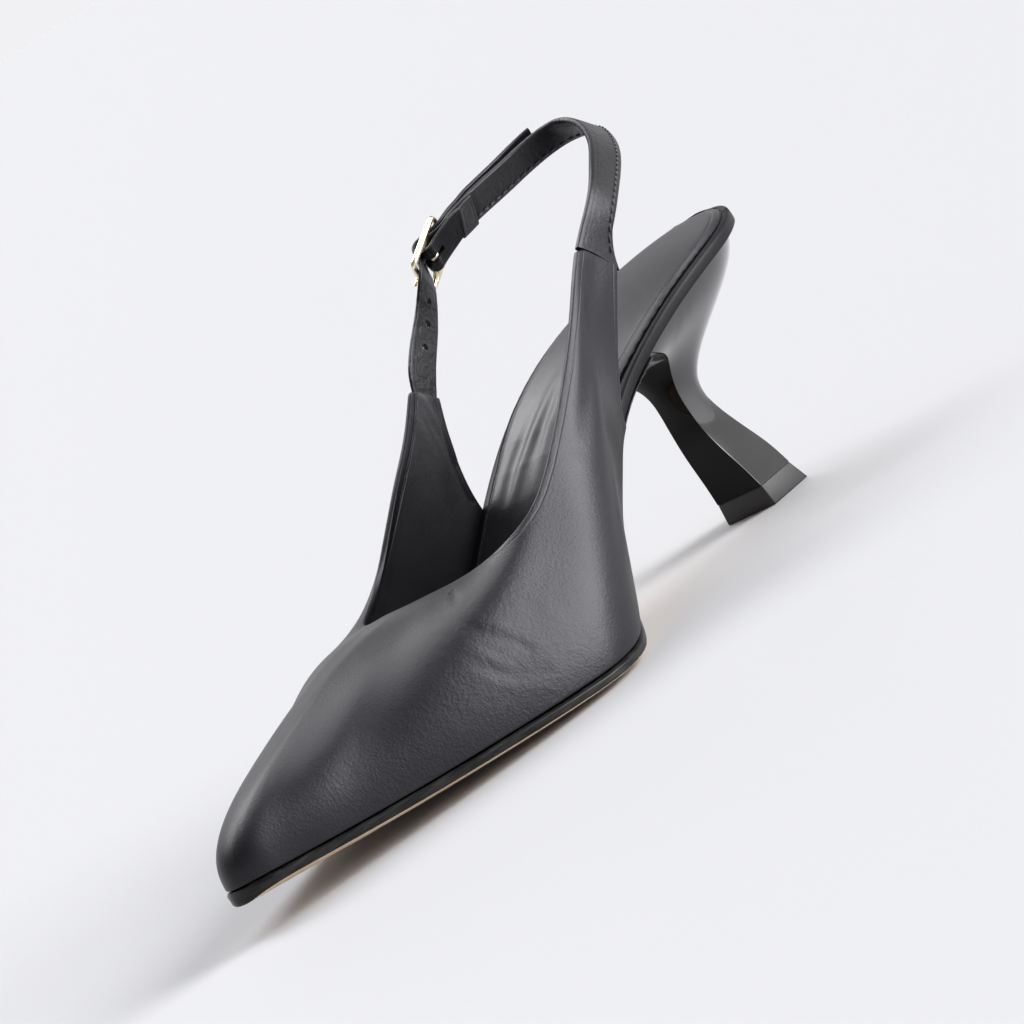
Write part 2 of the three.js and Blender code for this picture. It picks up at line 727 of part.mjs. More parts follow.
function atBuckle(along, out, across = 0) {
  return barMiddle
    .clone()
    .addScaledVector(ahead, along)
    .addScaledVector(outward, out)
    .addScaledVector(crosswise, across);
}

// How the straps pass the frame: over its centre bar and under its end bars, seen along the bars.
const bar = wire / 2;
const foldRadius = bar + layerGap + chapeThickness / 2;
const overRadius = foldRadius + chapeThickness / 2 + layerGap + billetThickness / 2;
const underRadius = bar + layerGap + billetThickness / 2;
const deepRadius = underRadius + billetThickness / 2 + layerGap + chapeThickness / 2;
const innerRadius = deepRadius + chapeThickness + layerGap;

// Where a line that passes under an end bar and over the centre bar leaves the one for the other.
function crossing(under, over) {
  const steep = Math.asin((under + over) / frameReach);
  return { steep, leave: [frameReach - under * Math.sin(steep), -under * Math.cos(steep)] };
}

function arc(radius, from, to, steps) {
  const points = [];
  for (let i = 0; i <= steps; i += 1) {
    const angle = THREE.MathUtils.degToRad(mix(from, to, i / steps));
    points.push([radius * Math.cos(angle), radius * Math.sin(angle)]);
  }
  return points;
}

// Stations of a band from places along and outward at the buckle, all across the same way.
function buckleStations(places, width, thickness) {
  return places.map(([along, out]) => ({
    point: atBuckle(along, out), across: crosswise.clone(), width, thickness,
  }));
}

const seamReach = 0.04;

// The end of a wing where a strap is joined to it: rear corner to front corner, with the wall's normal.
function seamEnd(rearShare, frontShare) {
  const middleShare = (rearShare + frontShare) / 2;
  const normal = wallNormal(middleShare, 1);
  const rear = toplinePoint(rearShare);
  const front = toplinePoint(frontShare);
  const across = front.clone().sub(rear).normalize();
  const out = normal.addScaledVector(across, -normal.dot(across)).normalize();
  const run = wallPoint(middleShare, 1).sub(wallPoint(middleShare, 1 - seamReach)).normalize();
  const away = across.clone().cross(out);
  away.multiplyScalar(Math.sign(away.dot(run)));
  const middle = wallPoint(middleShare, 1);
  const corners = rear.clone().lerp(front, 0.5);
  const rise = Math.max(0, middle.sub(corners).dot(away));
  return {
    point: corners.addScaledVector(out, -upperWall / 2).addScaledVector(away, seamGap + rise),
    across,
    out,
    width: front.distanceTo(rear),
    run,
  };
}

// An even curve through stations: points, ways across and widths together.
function fairStations(knots, steps, thickness) {
  const reach = [0];
  for (let i = 1; i < knots.length; i += 1) {
    reach.push(reach[i - 1] + knots[i].point.distanceTo(knots[i - 1].point));
  }
  const read = (get) => supple(reach, knots.map(get));
  const axes = ["x", "y", "z"];
  const place = axes.map((axis) => read((knot) => knot.point[axis]));
  const across = axes.map((axis) => read((knot) => knot.across[axis]));
  const width = read((knot) => knot.width);
  const total = reach[reach.length - 1];
  const stations = [];
  for (let i = 0; i <= steps; i += 1) {
    const at = (total * i) / steps;
    stations.push({
      point: new THREE.Vector3(...place.map((curve) => curve(at))),
      across: new THREE.Vector3(...across.map((curve) => curve(at))).normalize(),
      width: width(at),
      thickness,
    });
  }
  return stations;
}

const slingSteps = 56;
const billetSteps = 26;

// The first knots of a strap: its seam, and a place a little way on where it has almost its own width.
function seamKnots(seam, width, next) {
  const straight = next.clone().sub(seam.point).normalize();
  const run = seam.run.clone().add(straight).normalize();
  return [
    seam,
    {
      point: seam.point.clone().addScaledVector(run, width / 2),
      across: seam.across,
      width: mix(seam.width, width, 0.5),
    },
  ];
}

// The sling from the inner quarter's seam round the heel to where it goes under the buckle's rear bar.
function slingRun() {
  const seam = seamEnd(0, wallRows[1].foot);
  const points = slingRows.map(
    (row) =>
      new THREE.Vector3(row.along * shoeLength, row.across * ballWidth, seatHeight + row.rise * strapRise)
  );
  const knots = seamKnots(seam, strapWidth, points[0]);
  const end = { point: atBuckle(-frameReach - bar, -deepRadius), across: crosswise, width: strapWidth };
  points.forEach((point, i) => {
    const before = i > 0 ? points[i - 1] : seam.point;
    const after = i < points.length - 1 ? points[i + 1] : end.point;
    const run = after.clone().sub(before).normalize();
    const upward = up.clone().addScaledVector(run, -up.dot(run)).normalize();
    const lean = THREE.MathUtils.degToRad(slingRows[i].lean);
    knots.push({ point, across: upward.applyAxisAngle(run, -lean), width: strapWidth });
  });
  knots.push(end);
  const stations = fairStations(knots, slingSteps, strapThickness);
  stations[0].out = seam.out;
  stations[0].across = seam.across;
  return stations;
}

const sling = slingRun();

// Stations beside the sling, from its buckle end back for a length, moved outward by a distance.
function beside(length, away, width, thickness) {
  const lying = [];
  let reach = 0;
  for (let i = sling.length - 2; i > 0 && reach < length; i -= 1) {
    const here = sling[i];
    reach += here.point.distanceTo(sling[i + 1].point);
    const run = sling[i + 1].point.clone().sub(sling[i - 1].point).normalize();
    const out = run.cross(here.across).normalize();
    lying.push({
      point: here.point.clone().addScaledVector(out, away(reach)),
      across: here.across.clone(),
      width,
      thickness,
    });
  }
  return lying;
}

function heelStrap() {
  const { steep, leave } = crossing(deepRadius, foldRadius);
  const turn = THREE.MathUtils.radToDeg(steep);
  const back = Math.asin((innerRadius - foldRadius) / frameReach);
  const backTurn = THREE.MathUtils.radToDeg(back);
  const fold = [
    [-frameReach, -deepRadius],
    [-leave[0], leave[1]],
    ...arc(foldRadius, 90 + turn, -90 - backTurn, 9),
    [-frameReach - innerRadius * Math.sin(back), -innerRadius * Math.cos(back)],
  ];
  let reach = 0;
  const run = sling
    .map((station, i) => {
      const here = sling[sling.length - 1 - i];
      reach += i > 0 ? here.point.distanceTo(sling[sling.length - i].point) : 0;
      const thick = ease(chapeLength + gap, chapeLength + gap + 2 * strapThickness, reach);
      return { ...here, thickness: mix(chapeThickness, strapThickness, thick) };
    })
    .reverse();
  const inside = beside(chapeLength, () => -chapeThickness - layerGap, strapWidth, chapeThickness);
  const wrap = buckleStations(fold, strapWidth, chapeThickness);
  const solid = toManifold(band([...run, ...wrap, ...inside]));
  const slot = boxAtBuckle(-foldRadius - prongWire, foldRadius + prongWire, prongWire + 2 * prongPlay);
  return fromManifold(solid.subtract(slot));
}

// A block through the straps at the buckle, for the slots that the prong passes.
function boxAtBuckle(from, to, width) {
  const depth = 4 * foldRadius;
  const geometry = new THREE.BoxGeometry(to - from, width, depth);
  geometry.deleteAttribute("normal");
  geometry.deleteAttribute("uv");
  const merged = mergeVertices(geometry);
  const axes = new THREE.Matrix4().makeBasis(ahead, crosswise, outward);
  merged.applyMatrix4(axes.setPosition(atBuckle((from + to) / 2, 0)));
  return toManifold(merged);
}

// A round hole through a strap at a distance along its stations.
function holeAt(stations, distance) {
  let reach = 0;
  let i = 1;
  while (i < stations.length - 2 && reach < distance) {
    reach += stations[i].point.distanceTo(stations[i + 1].point);
    i += 1;
  }
  const here = stations[i];
  const run = stations[i + 1].point.clone().sub(stations[i - 1].point).normalize();
  const out = run.clone().cross(here.across).normalize();
  const side = out.clone().cross(run);
  const ends = [-billetThickness, billetThickness].map((away) =>
    tubeRing(here.point.clone().addScaledVector(out, away), run, side, holeWidth / 2, holeSides)
  );
  return toManifold(ringSolid(ends));
}

function billet() {
  const { steep, leave } = crossing(underRadius, overRadius);
  const turn = THREE.MathUtils.radToDeg(steep);
  const seam = seamEnd(1, wallRows[wallRows.length - 2].foot);
  const middle = new THREE.Vector3(
    billetRow.along * shoeLength, billetRow.across * ballWidth, seatHeight + billetRow.rise * strapRise
  );
  const knots = [
    ...seamKnots(seam, billetWidth, middle),
    { point: middle, across: seam.across.clone().lerp(crosswise, billetRow.turn), width: billetWidth },
    { point: atBuckle(frameReach + bar, -underRadius), across: crosswise, width: billetWidth },
  ];
  const toBuckle = fairStations(knots, billetSteps, billetThickness);
  toBuckle[0].out = seam.out.clone().multiplyScalar(-1);
  toBuckle[0].across = seam.across;
  const over = [
    [leave[0], leave[1]],
    ...arc(overRadius, 90 - turn, 90 + turn, 4),
    [-leave[0], leave[1]],
    [-frameReach, -underRadius],
  ];
  const hump = buckleStations(over, billetWidth, billetThickness);
  const flat = chapeThickness / 2 + layerGap + billetThickness / 2;
  const full = strapThickness / 2 + layerGap + billetThickness / 2;
  const away = (reach) =>
    mix(flat, full, ease(chapeLength, chapeLength + strapThickness, reach)) +
    tailLift * (reach / tailLength) ** 2;
  const tail = beside(tailLength, away, billetWidth, billetThickness);
  const cuts = [boxAtBuckle(bar, frameReach - 2 * prongWire, prongWire + 2 * prongPlay)];
  const fromBuckle = toBuckle.slice().reverse();
  for (let k = 0; k < holesAhead; k += 1) {
    cuts.push(holeAt(fromBuckle, firstHoleAhead + k * holePitch));
  }
  for (let k = 0; k < holesBehind; k += 1) {
    cuts.push(holeAt(tail, firstHoleBehind + k * holePitch));
  }
  let solid = toManifold(band([...toBuckle, ...hump, ...tail]));
  cuts.forEach((cut) => {
    solid = solid.subtract(cut);
  });
  return fromManifold(solid);
}

const grain = { color: 0x1d1d1f, roughness: 0.42, metalness: 0 };
const gloss = { color: 0x0a0a0b, roughness: 0.12, metalness: 0 };
const gold = { color: 0xd9cba3, roughness: 0.2, metalness: 1 };

function tubeRing(point, side, out, radius, sides) {
  const ring = [];
  for (let k = 0; k < sides; k += 1) {
    const angle = (2 * Math.PI * k) / sides;
    ring.push(
      point
        .clone()
        .addScaledVector(side, radius * Math.cos(angle))
        .addScaledVector(out, radius * Math.sin(angle))
    );
  }
  return ring;
}

const wireSides = 10;

function buckleFrame() {
  const halfAcross = strapWidth / 2 + frameClearance + bar;
  const corners = [[1, 1], [-1, 1], [-1, -1], [1, -1]];
  const rings = [];
  corners.forEach(([a, c], k) => {
    for (let i = 0; i <= 4; i += 1) {
      const angle = (Math.PI / 2) * (k + i / 4);
      const along = a * (frameReach - frameCorner) + frameCorner * Math.cos(angle);
      const across = c * (halfAcross - frameCorner) + frameCorner * Math.sin(angle);
      const side = ahead.clone().multiplyScalar(Math.cos(angle)).addScaledVector(crosswise, Math.sin(angle));
      rings.push(tubeRing(atBuckle(along, 0, across), side, outward, bar, wireSides));
    }
  });
  const ends = [-halfAcross, halfAcross].map((across) =>
    tubeRing(atBuckle(0, 0, across), ahead, outward, bar, wireSides)
  );
  return fromManifold(toManifold(ringSolid(rings, { closed: true })).add(toManifold(ringSolid(ends))));
}

function buckleProng() {
  const radius = bar + prongPlay + prongWire / 2;
  const path = [
    ...arc(radius, -20, -270, 12),
    [frameReach, radius],
    [frameReach + bar + prongTip, radius - prongWire / 4],
  ];
  const rings = path.map(([along, out], i) => {
    const before = path[Math.max(i - 1, 0)];
    const after = path[Math.min(i + 1, path.length - 1)];
    const run = new THREE.Vector2(after[0] - before[0], after[1] - before[1]).normalize();
    const side = ahead.clone().multiplyScalar(-run.y).addScaledVector(outward, run.x);
    const size = i === path.length - 1 ? prongWire / 3 : prongWire / 2;
    return tubeRing(atBuckle(along, out), crosswise, side, size, wireSides);
  });
  return ringSolid(rings);
}

const part = new THREE.Group();

function add(name, geometry, look) {
  const mesh = new THREE.Mesh(geometry, new THREE.MeshStandardMaterial(look));
  mesh.name = name;
  part.add(mesh);
}

add("outsole", outsole(), { color: 0x17120f, roughness: 0.4, metalness: 0 });
add("insole", insole(), grain);
add("sock", sock(), { color: 0x202022, roughness: 0.5, metalness: 0 });
add("upper", upper(), grain);
add("heel", heel(), gloss);
add("top_lift", topLift(), { color: 0x101010, roughness: 0.5, metalness: 0 });
add("heel_strap", heelStrap(), grain);
add("billet", billet(), grain);
add("buckle_frame", buckleFrame(), gold);
add("buckle_prong", buckleProng(), gold);

// The origin goes under the middle of the whole shoe.
const middle = new THREE.Box3().setFromObject(part).getCenter(new THREE.Vector3());
part.position.set(-middle.x, -middle.y, 0);
part.updateMatrixWorld(true);

export default part;
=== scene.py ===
import math

import bmesh
import bpy
from mathutils import Matrix, Quaternion, Vector
from mathutils.bvhtree import BVHTree
from mathutils.kdtree import KDTree


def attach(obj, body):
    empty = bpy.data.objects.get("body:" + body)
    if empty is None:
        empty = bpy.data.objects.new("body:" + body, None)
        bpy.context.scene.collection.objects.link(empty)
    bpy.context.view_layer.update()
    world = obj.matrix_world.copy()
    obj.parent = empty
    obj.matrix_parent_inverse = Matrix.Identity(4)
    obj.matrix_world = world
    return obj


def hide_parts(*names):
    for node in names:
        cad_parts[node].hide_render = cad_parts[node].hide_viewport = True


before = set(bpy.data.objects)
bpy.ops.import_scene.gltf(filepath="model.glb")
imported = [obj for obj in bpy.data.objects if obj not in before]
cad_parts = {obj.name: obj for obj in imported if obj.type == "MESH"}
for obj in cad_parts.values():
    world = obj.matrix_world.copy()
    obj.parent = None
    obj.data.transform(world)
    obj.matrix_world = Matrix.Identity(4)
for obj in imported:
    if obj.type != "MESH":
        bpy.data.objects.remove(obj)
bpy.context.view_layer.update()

mm = 0.001
print("frame loaded:", len(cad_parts), "solids")


# Colour and node helpers

def linearColour(hexText):
    values = [int(hexText[i:i + 2], 16) / 255 for i in (1, 3, 5)]
    return [v / 12.92 if v <= 0.04045 else ((v + 0.055) / 1.055) ** 2.4 for v in values] + [1.0]


def addNode(tree, kind, values=None, links=None, **settings):
    node = tree.nodes.new(kind)
    for name, value in settings.items():
        setattr(node, name, value)
    for socket, value in (values or {}).items():
        node.inputs[socket].default_value = value
    for socket, source in (links or {}).items():
        tree.links.new(source, node.inputs[socket])
    return node


def inMetres(x, y, z):
    return Vector((x, y, z)) * mm


def emptyMaterial(name):
    material = bpy.data.materials.new(name)
    material.use_nodes = True
    material.node_tree.nodes.clear()
    return material, material.node_tree


def noise(tree, spot, size, detail, roughness=0.5):
    # The size of the pattern is in millimetres
    return addNode(tree, "ShaderNodeTexNoise",
                   {"Scale": 1 / (size * mm), "Detail": detail, "Roughness": roughness}, {"Vector": spot})


def colourRamp(tree, pattern, *stops):
    ramp = addNode(tree, "ShaderNodeValToRGB", links={"Fac": pattern.outputs["Fac"]})
    for element, (position, hexText) in zip(ramp.color_ramp.elements, stops):
        element.position = position
        element.color = linearColour(hexText)
    return ramp


def glossRange(tree, pattern, middle, below, above):
    return addNode(tree, "ShaderNodeMapRange", {"To Min": middle - below, "To Max": middle + above},
                   {"Value": pattern.outputs["Fac"]})


def bumpFrom(tree, pattern, depth):
    return addNode(tree, "ShaderNodeBump", {"Distance": depth * mm}, {"Height": pattern.outputs["Fac"]})


# Leathers. Chrome-tanned calf has an IOR near 1.5 and a thin wax or resin finish, which the coat stands for.
# Real calf pores are about 0.15 mm, too fine for the frame, so the grain is drawn at about 0.5 mm.

upperCalf = {
    "dark": "#0c0c0f", "light": "#151519", "patchSize": 34, "grainSize": 0.62, "grainDepth": 0.042,
    "roughness": (0.34, 0.46), "coat": 0.06, "coatRoughness": 0.28,
    "wrinkleDepth": 0.030, "wrinkleSize": 3.6,
    "grooveAt": 1.6, "grooveWidth": 0.35, "grooveDepth": 0.07, "specular": 0.33,
    "pinhole": (39.4, 18.1, 35.0), "pinholeSize": 1.0,
}
liningCalf = {
    "dark": "#141416", "light": "#222225", "patchSize": 22, "grainSize": 0.6, "grainDepth": 0.030,
    "roughness": (0.34, 0.46), "coat": 0.30, "coatRoughness": 0.32, "wrinkleDepth": 0.06, "wrinkleSize": 4.0,
    "grooveAt": 2.1, "grooveWidth": 0.4, "grooveDepth": 0.22, "specular": 0.4,
}
sockKid = {
    "dark": "#18181b", "light": "#26262a", "patchSize": 18, "grainSize": 0.6, "grainDepth": 0.025,
    "roughness": (0.34, 0.44), "coat": 0.16, "coatRoughness": 0.30,
    "wrinkleDepth": 0.012, "wrinkleSize": 4.0,
    "grooveAt": 1.9, "grooveWidth": 0.5, "grooveDepth": 0.30, "specular": 0.36,
}
strapCalf = {
    "dark": "#0a0a0c", "light": "#121215", "patchSize": 9, "grainSize": 0.6, "grainDepth": 0.040,
    "roughness": (0.34, 0.48), "coat": 0.18, "coatRoughness": 0.30, "wrinkleDepth": 0.14, "wrinkleSize": 2.4,
    "grooveAt": 1.1, "grooveWidth": 0.5, "grooveDepth": 0.04, "specular": 0.27,
}
rimCalf = {
    "dark": "#09090b", "light": "#101013", "patchSize": 14, "grainSize": 0.5, "grainDepth": 0.030,
    "roughness": (0.40, 0.54), "coat": 0.08, "coatRoughness": 0.34, "wrinkleDepth": 0.04, "wrinkleSize": 3.0,
    "grooveAt": 0.0, "grooveWidth": 0.4, "grooveDepth": 0.0, "specular": 0.14,
}


def leather(name, look):
    material, tree = emptyMaterial(name)
    place = addNode(tree, "ShaderNodeTexCoord")
    spot = place.outputs["Object"]
    patches = noise(tree, spot, look["patchSize"], 4.0, 0.6)
    colour = colourRamp(tree, patches, (0.3, look["dark"]), (0.75, look["light"]))
    pores = addNode(tree, "ShaderNodeTexVoronoi",
                    {"Scale": 1 / (look["grainSize"] * mm), "Randomness": 0.9}, {"Vector": spot},
                    feature="SMOOTH_F1")
    fine = addNode(tree, "ShaderNodeTexNoise",
                   {"Scale": 2.2 / (look["grainSize"] * mm), "Detail": 3.0, "Roughness": 0.65},
                   {"Vector": spot})
    grain = addNode(tree, "ShaderNodeMath", links={0: pores.outputs["Distance"], 1: fine.outputs["Fac"]},
                    operation="ADD")
    # Polished grain is smoother on its high spots, so roughness follows patches and pores together
    worn = addNode(tree, "ShaderNodeMath", {1: 0.5}, {0: fine.outputs["Fac"], 2: patches.outputs["Fac"]},
                   operation="MULTIPLY_ADD")
    gloss = addNode(tree, "ShaderNodeMapRange",
                    {"From Min": 0.45, "From Max": 1.05, "To Min": look["roughness"][0],
                     "To Max": look["roughness"][1]}, {"Value": worn.outputs[0]})
    grainBump = addNode(tree, "ShaderNodeBump", {"Strength": 1.0, "Distance": look["grainDepth"] * mm},
                        {"Height": grain.outputs[0]})
    # Soft wrinkles where the piece flexes, told by its own flex attribute
    flex = addNode(tree, "ShaderNodeAttribute", attribute_name="flex")
    wrinkle = addNode(tree, "ShaderNodeTexNoise",
                      {"Scale": 1 / (look["wrinkleSize"] * mm), "Detail": 2.0, "Roughness": 0.5,
                       "Distortion": 0.6}, {"Vector": spot})
    fold = addNode(tree, "ShaderNodeMath", links={0: wrinkle.outputs["Fac"], 1: flex.outputs["Fac"]},
                   operation="MULTIPLY")
    wrinkleBump = addNode(tree, "ShaderNodeBump",
                          {"Strength": 1.0, "Distance": look["wrinkleDepth"] * mm * 4},
                          {"Height": fold.outputs[0], "Normal": grainBump.outputs[0]})
    # A pressed line beside the edge, told by the distance from the edge in millimetres
    rim = addNode(tree, "ShaderNodeAttribute", attribute_name="rimMm")
    away = addNode(tree, "ShaderNodeMath", {1: look["grooveAt"]}, {0: rim.outputs["Fac"]},
                   operation="SUBTRACT")
    near = addNode(tree, "ShaderNodeMath", links={0: away.outputs[0]}, operation="ABSOLUTE")
    groove = addNode(tree, "ShaderNodeMapRange", {"From Min": 0.0, "From Max": look["grooveWidth"],
                                                  "To Min": 0.0, "To Max": 1.0}, {"Value": near.outputs[0]},
                     interpolation_type="SMOOTHSTEP")
    grooveBump = addNode(tree, "ShaderNodeBump", {"Strength": 1.0, "Distance": look["grooveDepth"] * mm},
                         {"Height": groove.outputs[0], "Normal": wrinkleBump.outputs[0]})
    tint, surface = colour.outputs[0], grooveBump.outputs[0]
    if "pinhole" in look:
        # One small hole by the edge, told by the distance from its place. Its dark inside is painted shade,
        # mixed into the colour as near-black
        spread = addNode(tree, "ShaderNodeVectorMath", {1: inMetres(*look["pinhole"])}, {0: spot},
                         operation="DISTANCE")
        rise = addNode(tree, "ShaderNodeMapRange",
                       {"From Min": 0.35 * look["pinholeSize"] * mm, "From Max": look["pinholeSize"] * mm},
                       {"Value": spread.outputs["Value"]}, interpolation_type="SMOOTHSTEP")
        surface = addNode(tree, "ShaderNodeBump", {"Distance": 0.5 * mm},
                          {"Height": rise.outputs[0], "Normal": surface}).outputs[0]
        # Painted shade: the hole's inside is drawn near-black
        tint = addNode(tree, "ShaderNodeMix", {"A": linearColour("#020202")},
                       {"Factor": rise.outputs[0], "B": tint}, data_type="RGBA").outputs["Result"]
    shader = addNode(tree, "ShaderNodeBsdfPrincipled",
                     {"Metallic": 0.0, "IOR": 1.5, "Specular IOR Level": look["specular"],
                      "Specular Tint": linearColour("#f6f4ff"), "Coat Weight": look["coat"],
                      "Coat Roughness": look["coatRoughness"], "Coat IOR": 1.5},
                     {"Base Color": tint, "Roughness": gloss.outputs[0], "Normal": surface})
    addNode(tree, "ShaderNodeOutputMaterial", links={"Surface": shader.outputs[0]})
    return material


# Sole leather: vegetable-tanned, sanded and lightly waxed underneath, its edge inked and polished

soleLeather = {"tan": "#e8d3b8", "deep": "#d6ba98", "fibre": 1.4, "roughness": 0.55, "fibreDepth": 0.03}
edgeInk = {"black": "#070708", "worn": "#2e2d2d", "layer": 0.8, "roughness": 0.30, "specular": 0.2}


def soleUnderside(name, look):
    material, tree = emptyMaterial(name)
    spot = addNode(tree, "ShaderNodeTexCoord").outputs["Object"]
    cloud = noise(tree, spot, 16, 5.0, 0.6)
    colour = colourRamp(tree, cloud, (0.3, look["deep"]), (0.7, look["tan"]))
    fibre = noise(tree, spot, look["fibre"], 6.0, 0.7)
    rough = glossRange(tree, fibre, look["roughness"], 0.08, 0.1)
    bump = bumpFrom(tree, fibre, look["fibreDepth"])
    shader = addNode(tree, "ShaderNodeBsdfPrincipled",
                     {"IOR": 1.5, "Coat Weight": 0.1, "Coat Roughness": 0.4},
                     {"Base Color": colour.outputs[0], "Roughness": rough.outputs[0],
                      "Normal": bump.outputs[0]})
    addNode(tree, "ShaderNodeOutputMaterial", links={"Surface": shader.outputs[0]})
    return material


def soleEdge(name, look):
    material, tree = emptyMaterial(name)
    spot = addNode(tree, "ShaderNodeTexCoord").outputs["Object"]
    # The pressed layers of the cut edge run level, so the noise is squeezed in height
    squeezed = addNode(tree, "ShaderNodeMapping", {"Scale": (0.12, 0.12, 1.0)}, {"Vector": spot})
    layers = addNode(tree, "ShaderNodeTexNoise",
                     {"Scale": 1 / (look["layer"] * mm), "Detail": 4.0, "Roughness": 0.6},
                     {"Vector": squeezed.outputs[0]})
    colour = colourRamp(tree, layers, (0.4, look["black"]), (0.8, look["worn"]))
    rough = glossRange(tree, layers, look["roughness"], 0.06, 0.12)
    bump = bumpFrom(tree, layers, 0.06)
    shader = addNode(tree, "ShaderNodeBsdfPrincipled",
                     {"IOR": 1.5, "Specular IOR Level": look["specular"],
                      "Coat Weight": 0.08, "Coat Roughness": 0.2},
                     {"Base Color": colour.outputs[0], "Roughness": rough.outputs[0],
                      "Normal": bump.outputs[0]})
    addNode(tree, "ShaderNodeOutputMaterial", links={"Surface": shader.outputs[0]})
    return material


# Heel: ABS moulding sprayed with gloss lacquer, which leaves a mirror skin with a faint orange peel

heelLacquer = {"black": "#050506", "haze": "#0a0a0c", "roughness": 0.08, "peel": 4.5, "peelDepth": 0.002,
               "specular": 0.5, "coat": 0.9}
# The breast gets a darker, barely reflecting copy of the same lacquer: painted shade, standing in for the
# dark surroundings it reflects
shadedBreastLook = {"black": "#020203", "haze": "#050506", "roughness": 0.10, "peel": 4.5, "peelDepth": 0.002,
                 "specular": 0.12, "coat": 0.03}


def glossLacquer(name, look):
    material, tree = emptyMaterial(name)
    spot = addNode(tree, "ShaderNodeTexCoord").outputs["Object"]
    haze = noise(tree, spot, 12, 3.0)
    colour = colourRamp(tree, haze, (0.0, look["black"]), (1.0, look["haze"]))
    rough = glossRange(tree, haze, look["roughness"], 0.03, 0.05)
    peel = noise(tree, spot, look["peel"], 1.0)
    bump = bumpFrom(tree, peel, look["peelDepth"])
    shader = addNode(tree, "ShaderNodeBsdfPrincipled",
                     {"IOR": 1.52, "Specular IOR Level": look["specular"], "Coat Weight": look["coat"],
                      "Coat Roughness": 0.04, "Coat IOR": 1.52},
                     {"Base Color": colour.outputs[0], "Roughness": rough.outputs[0],
                      "Normal": bump.outputs[0]})
    addNode(tree, "ShaderNodeOutputMaterial", links={"Surface": shader.outputs[0]})
    return material


# Top lift: moulded polyurethane, semi-matte with a fine spark-eroded texture

liftPolyurethane = {"black": "#111112", "grey": "#1d1d1f", "texture": 0.5, "depth": 0.02, "roughness": 0.5}


def mouldedRubber(name, look):
    material, tree = emptyMaterial(name)
    spot = addNode(tree, "ShaderNodeTexCoord").outputs["Object"]
    spark = noise(tree, spot, look["texture"], 4.0, 0.7)
    colour = colourRamp(tree, spark, (0.0, look["black"]), (1.0, look["grey"]))
    rough = glossRange(tree, spark, look["roughness"], 0.1, 0.1)
    bump = bumpFrom(tree, spark, look["depth"])
    shader = addNode(tree, "ShaderNodeBsdfPrincipled", {"IOR": 1.5},
                     {"Base Color": colour.outputs[0], "Roughness": rough.outputs[0],
                      "Normal": bump.outputs[0]})
    addNode(tree, "ShaderNodeOutputMaterial", links={"Surface": shader.outputs[0]})
    return material


# Buckle: brass wire plated pale gold and tumbled, so it is bright with hair-fine drawing marks

paleGold = {"bright": "#f7ecd0", "dull": "#ddca98", "roughness": 0.2, "marks": 0.35, "markDepth": 0.006}


def platedBrass(name, look):
    material, tree = emptyMaterial(name)
    spot = addNode(tree, "ShaderNodeTexCoord").outputs["Object"]
    marks = noise(tree, spot, look["marks"], 3.0, 0.6)
    tarnish = noise(tree, spot, 3, 2.0)
    colour = colourRamp(tree, tarnish, (0.25, look["dull"]), (0.6, look["bright"]))
    rough = glossRange(tree, marks, look["roughness"], 0.06, 0.1)
    bump = bumpFrom(tree, marks, look["markDepth"])
    shader = addNode(tree, "ShaderNodeBsdfPrincipled", {"Metallic": 1.0},
                     {"Base Color": colour.outputs[0], "Roughness": rough.outputs[0],
                      "Normal": bump.outputs[0]})
    addNode(tree, "ShaderNodeOutputMaterial", links={"Surface": shader.outputs[0]})
    return material


# Thread: bonded polyester, two plies twisted at about 0.6 mm a turn

threadLook = {"dark": "#0f0f10", "light": "#2c2c2f", "ply": 0.6, "roughness": 0.55}


def bondedThread(name, look):
    material, tree = emptyMaterial(name)
    spot = addNode(tree, "ShaderNodeTexCoord").outputs["Object"]
    twist = addNode(tree, "ShaderNodeTexWave", {"Scale": 0.5 / (look["ply"] * mm), "Distortion": 1.0},
                    {"Vector": spot}, bands_direction="DIAGONAL")
    colour = colourRamp(tree, twist, (0.0, look["dark"]), (1.0, look["light"]))
    bump = bumpFrom(tree, twist, 0.05)
    shader = addNode(tree, "ShaderNodeBsdfPrincipled", {"Roughness": look["roughness"], "Sheen Weight": 0.2},
                     {"Base Color": colour.outputs[0], "Normal": bump.outputs[0]})
    addNode(tree, "ShaderNodeOutputMaterial", links={"Surface": shader.outputs[0]})
    return material


calf = leather("blackCalfUpper", upperCalf)
lining = leather("blackCalfLining", liningCalf)
kid = leather("greyBlackKidSock", sockKid)
strapLeather = leather("blackCalfStrap", strapCalf)
rimLeather = leather("blackCalfRim", rimCalf)
tanSole = soleUnderside("tanVegetableLeather", soleLeather)
inkedEdge = soleEdge("blackInkedEdge", edgeInk)
lacquer = glossLacquer("blackGlossLacquer", heelLacquer)
# The second lacquer is the breast's darker copy, which holds painted shade
breastShadeLacquer = glossLacquer("blackLacquerPaintedShade", shadedBreastLook)
rubber = mouldedRubber("blackPolyurethane", liftPolyurethane)
gold = platedBrass("paleGoldPlatedBrass", paleGold)
thread = bondedThread("blackBondedThread", threadLook)
print("materials made")


# Mesh helpers

def meshOf(node):
    shape = bmesh.new()
    shape.from_mesh(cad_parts[node].data)
    bmesh.ops.remove_doubles(shape, verts=shape.verts, dist=0.001 * mm)
    bmesh.ops.join_triangles(shape, faces=shape.faces, angle_face_threshold=math.radians(35),
                             angle_shape_threshold=math.radians(80))
    return shape


def skinOf(node):
    shape = meshOf(node)
    tree = BVHTree.FromBMesh(shape)
    shape.free()
    return tree


def sharpEdges(shape, angle):
    return [e for e in shape.edges if e.is_manifold and e.calc_face_angle() > math.radians(angle)]


def pointsOn(edge):
    return [edge.verts[0].co.lerp(edge.verts[1].co, k / 6) for k in range(7)]


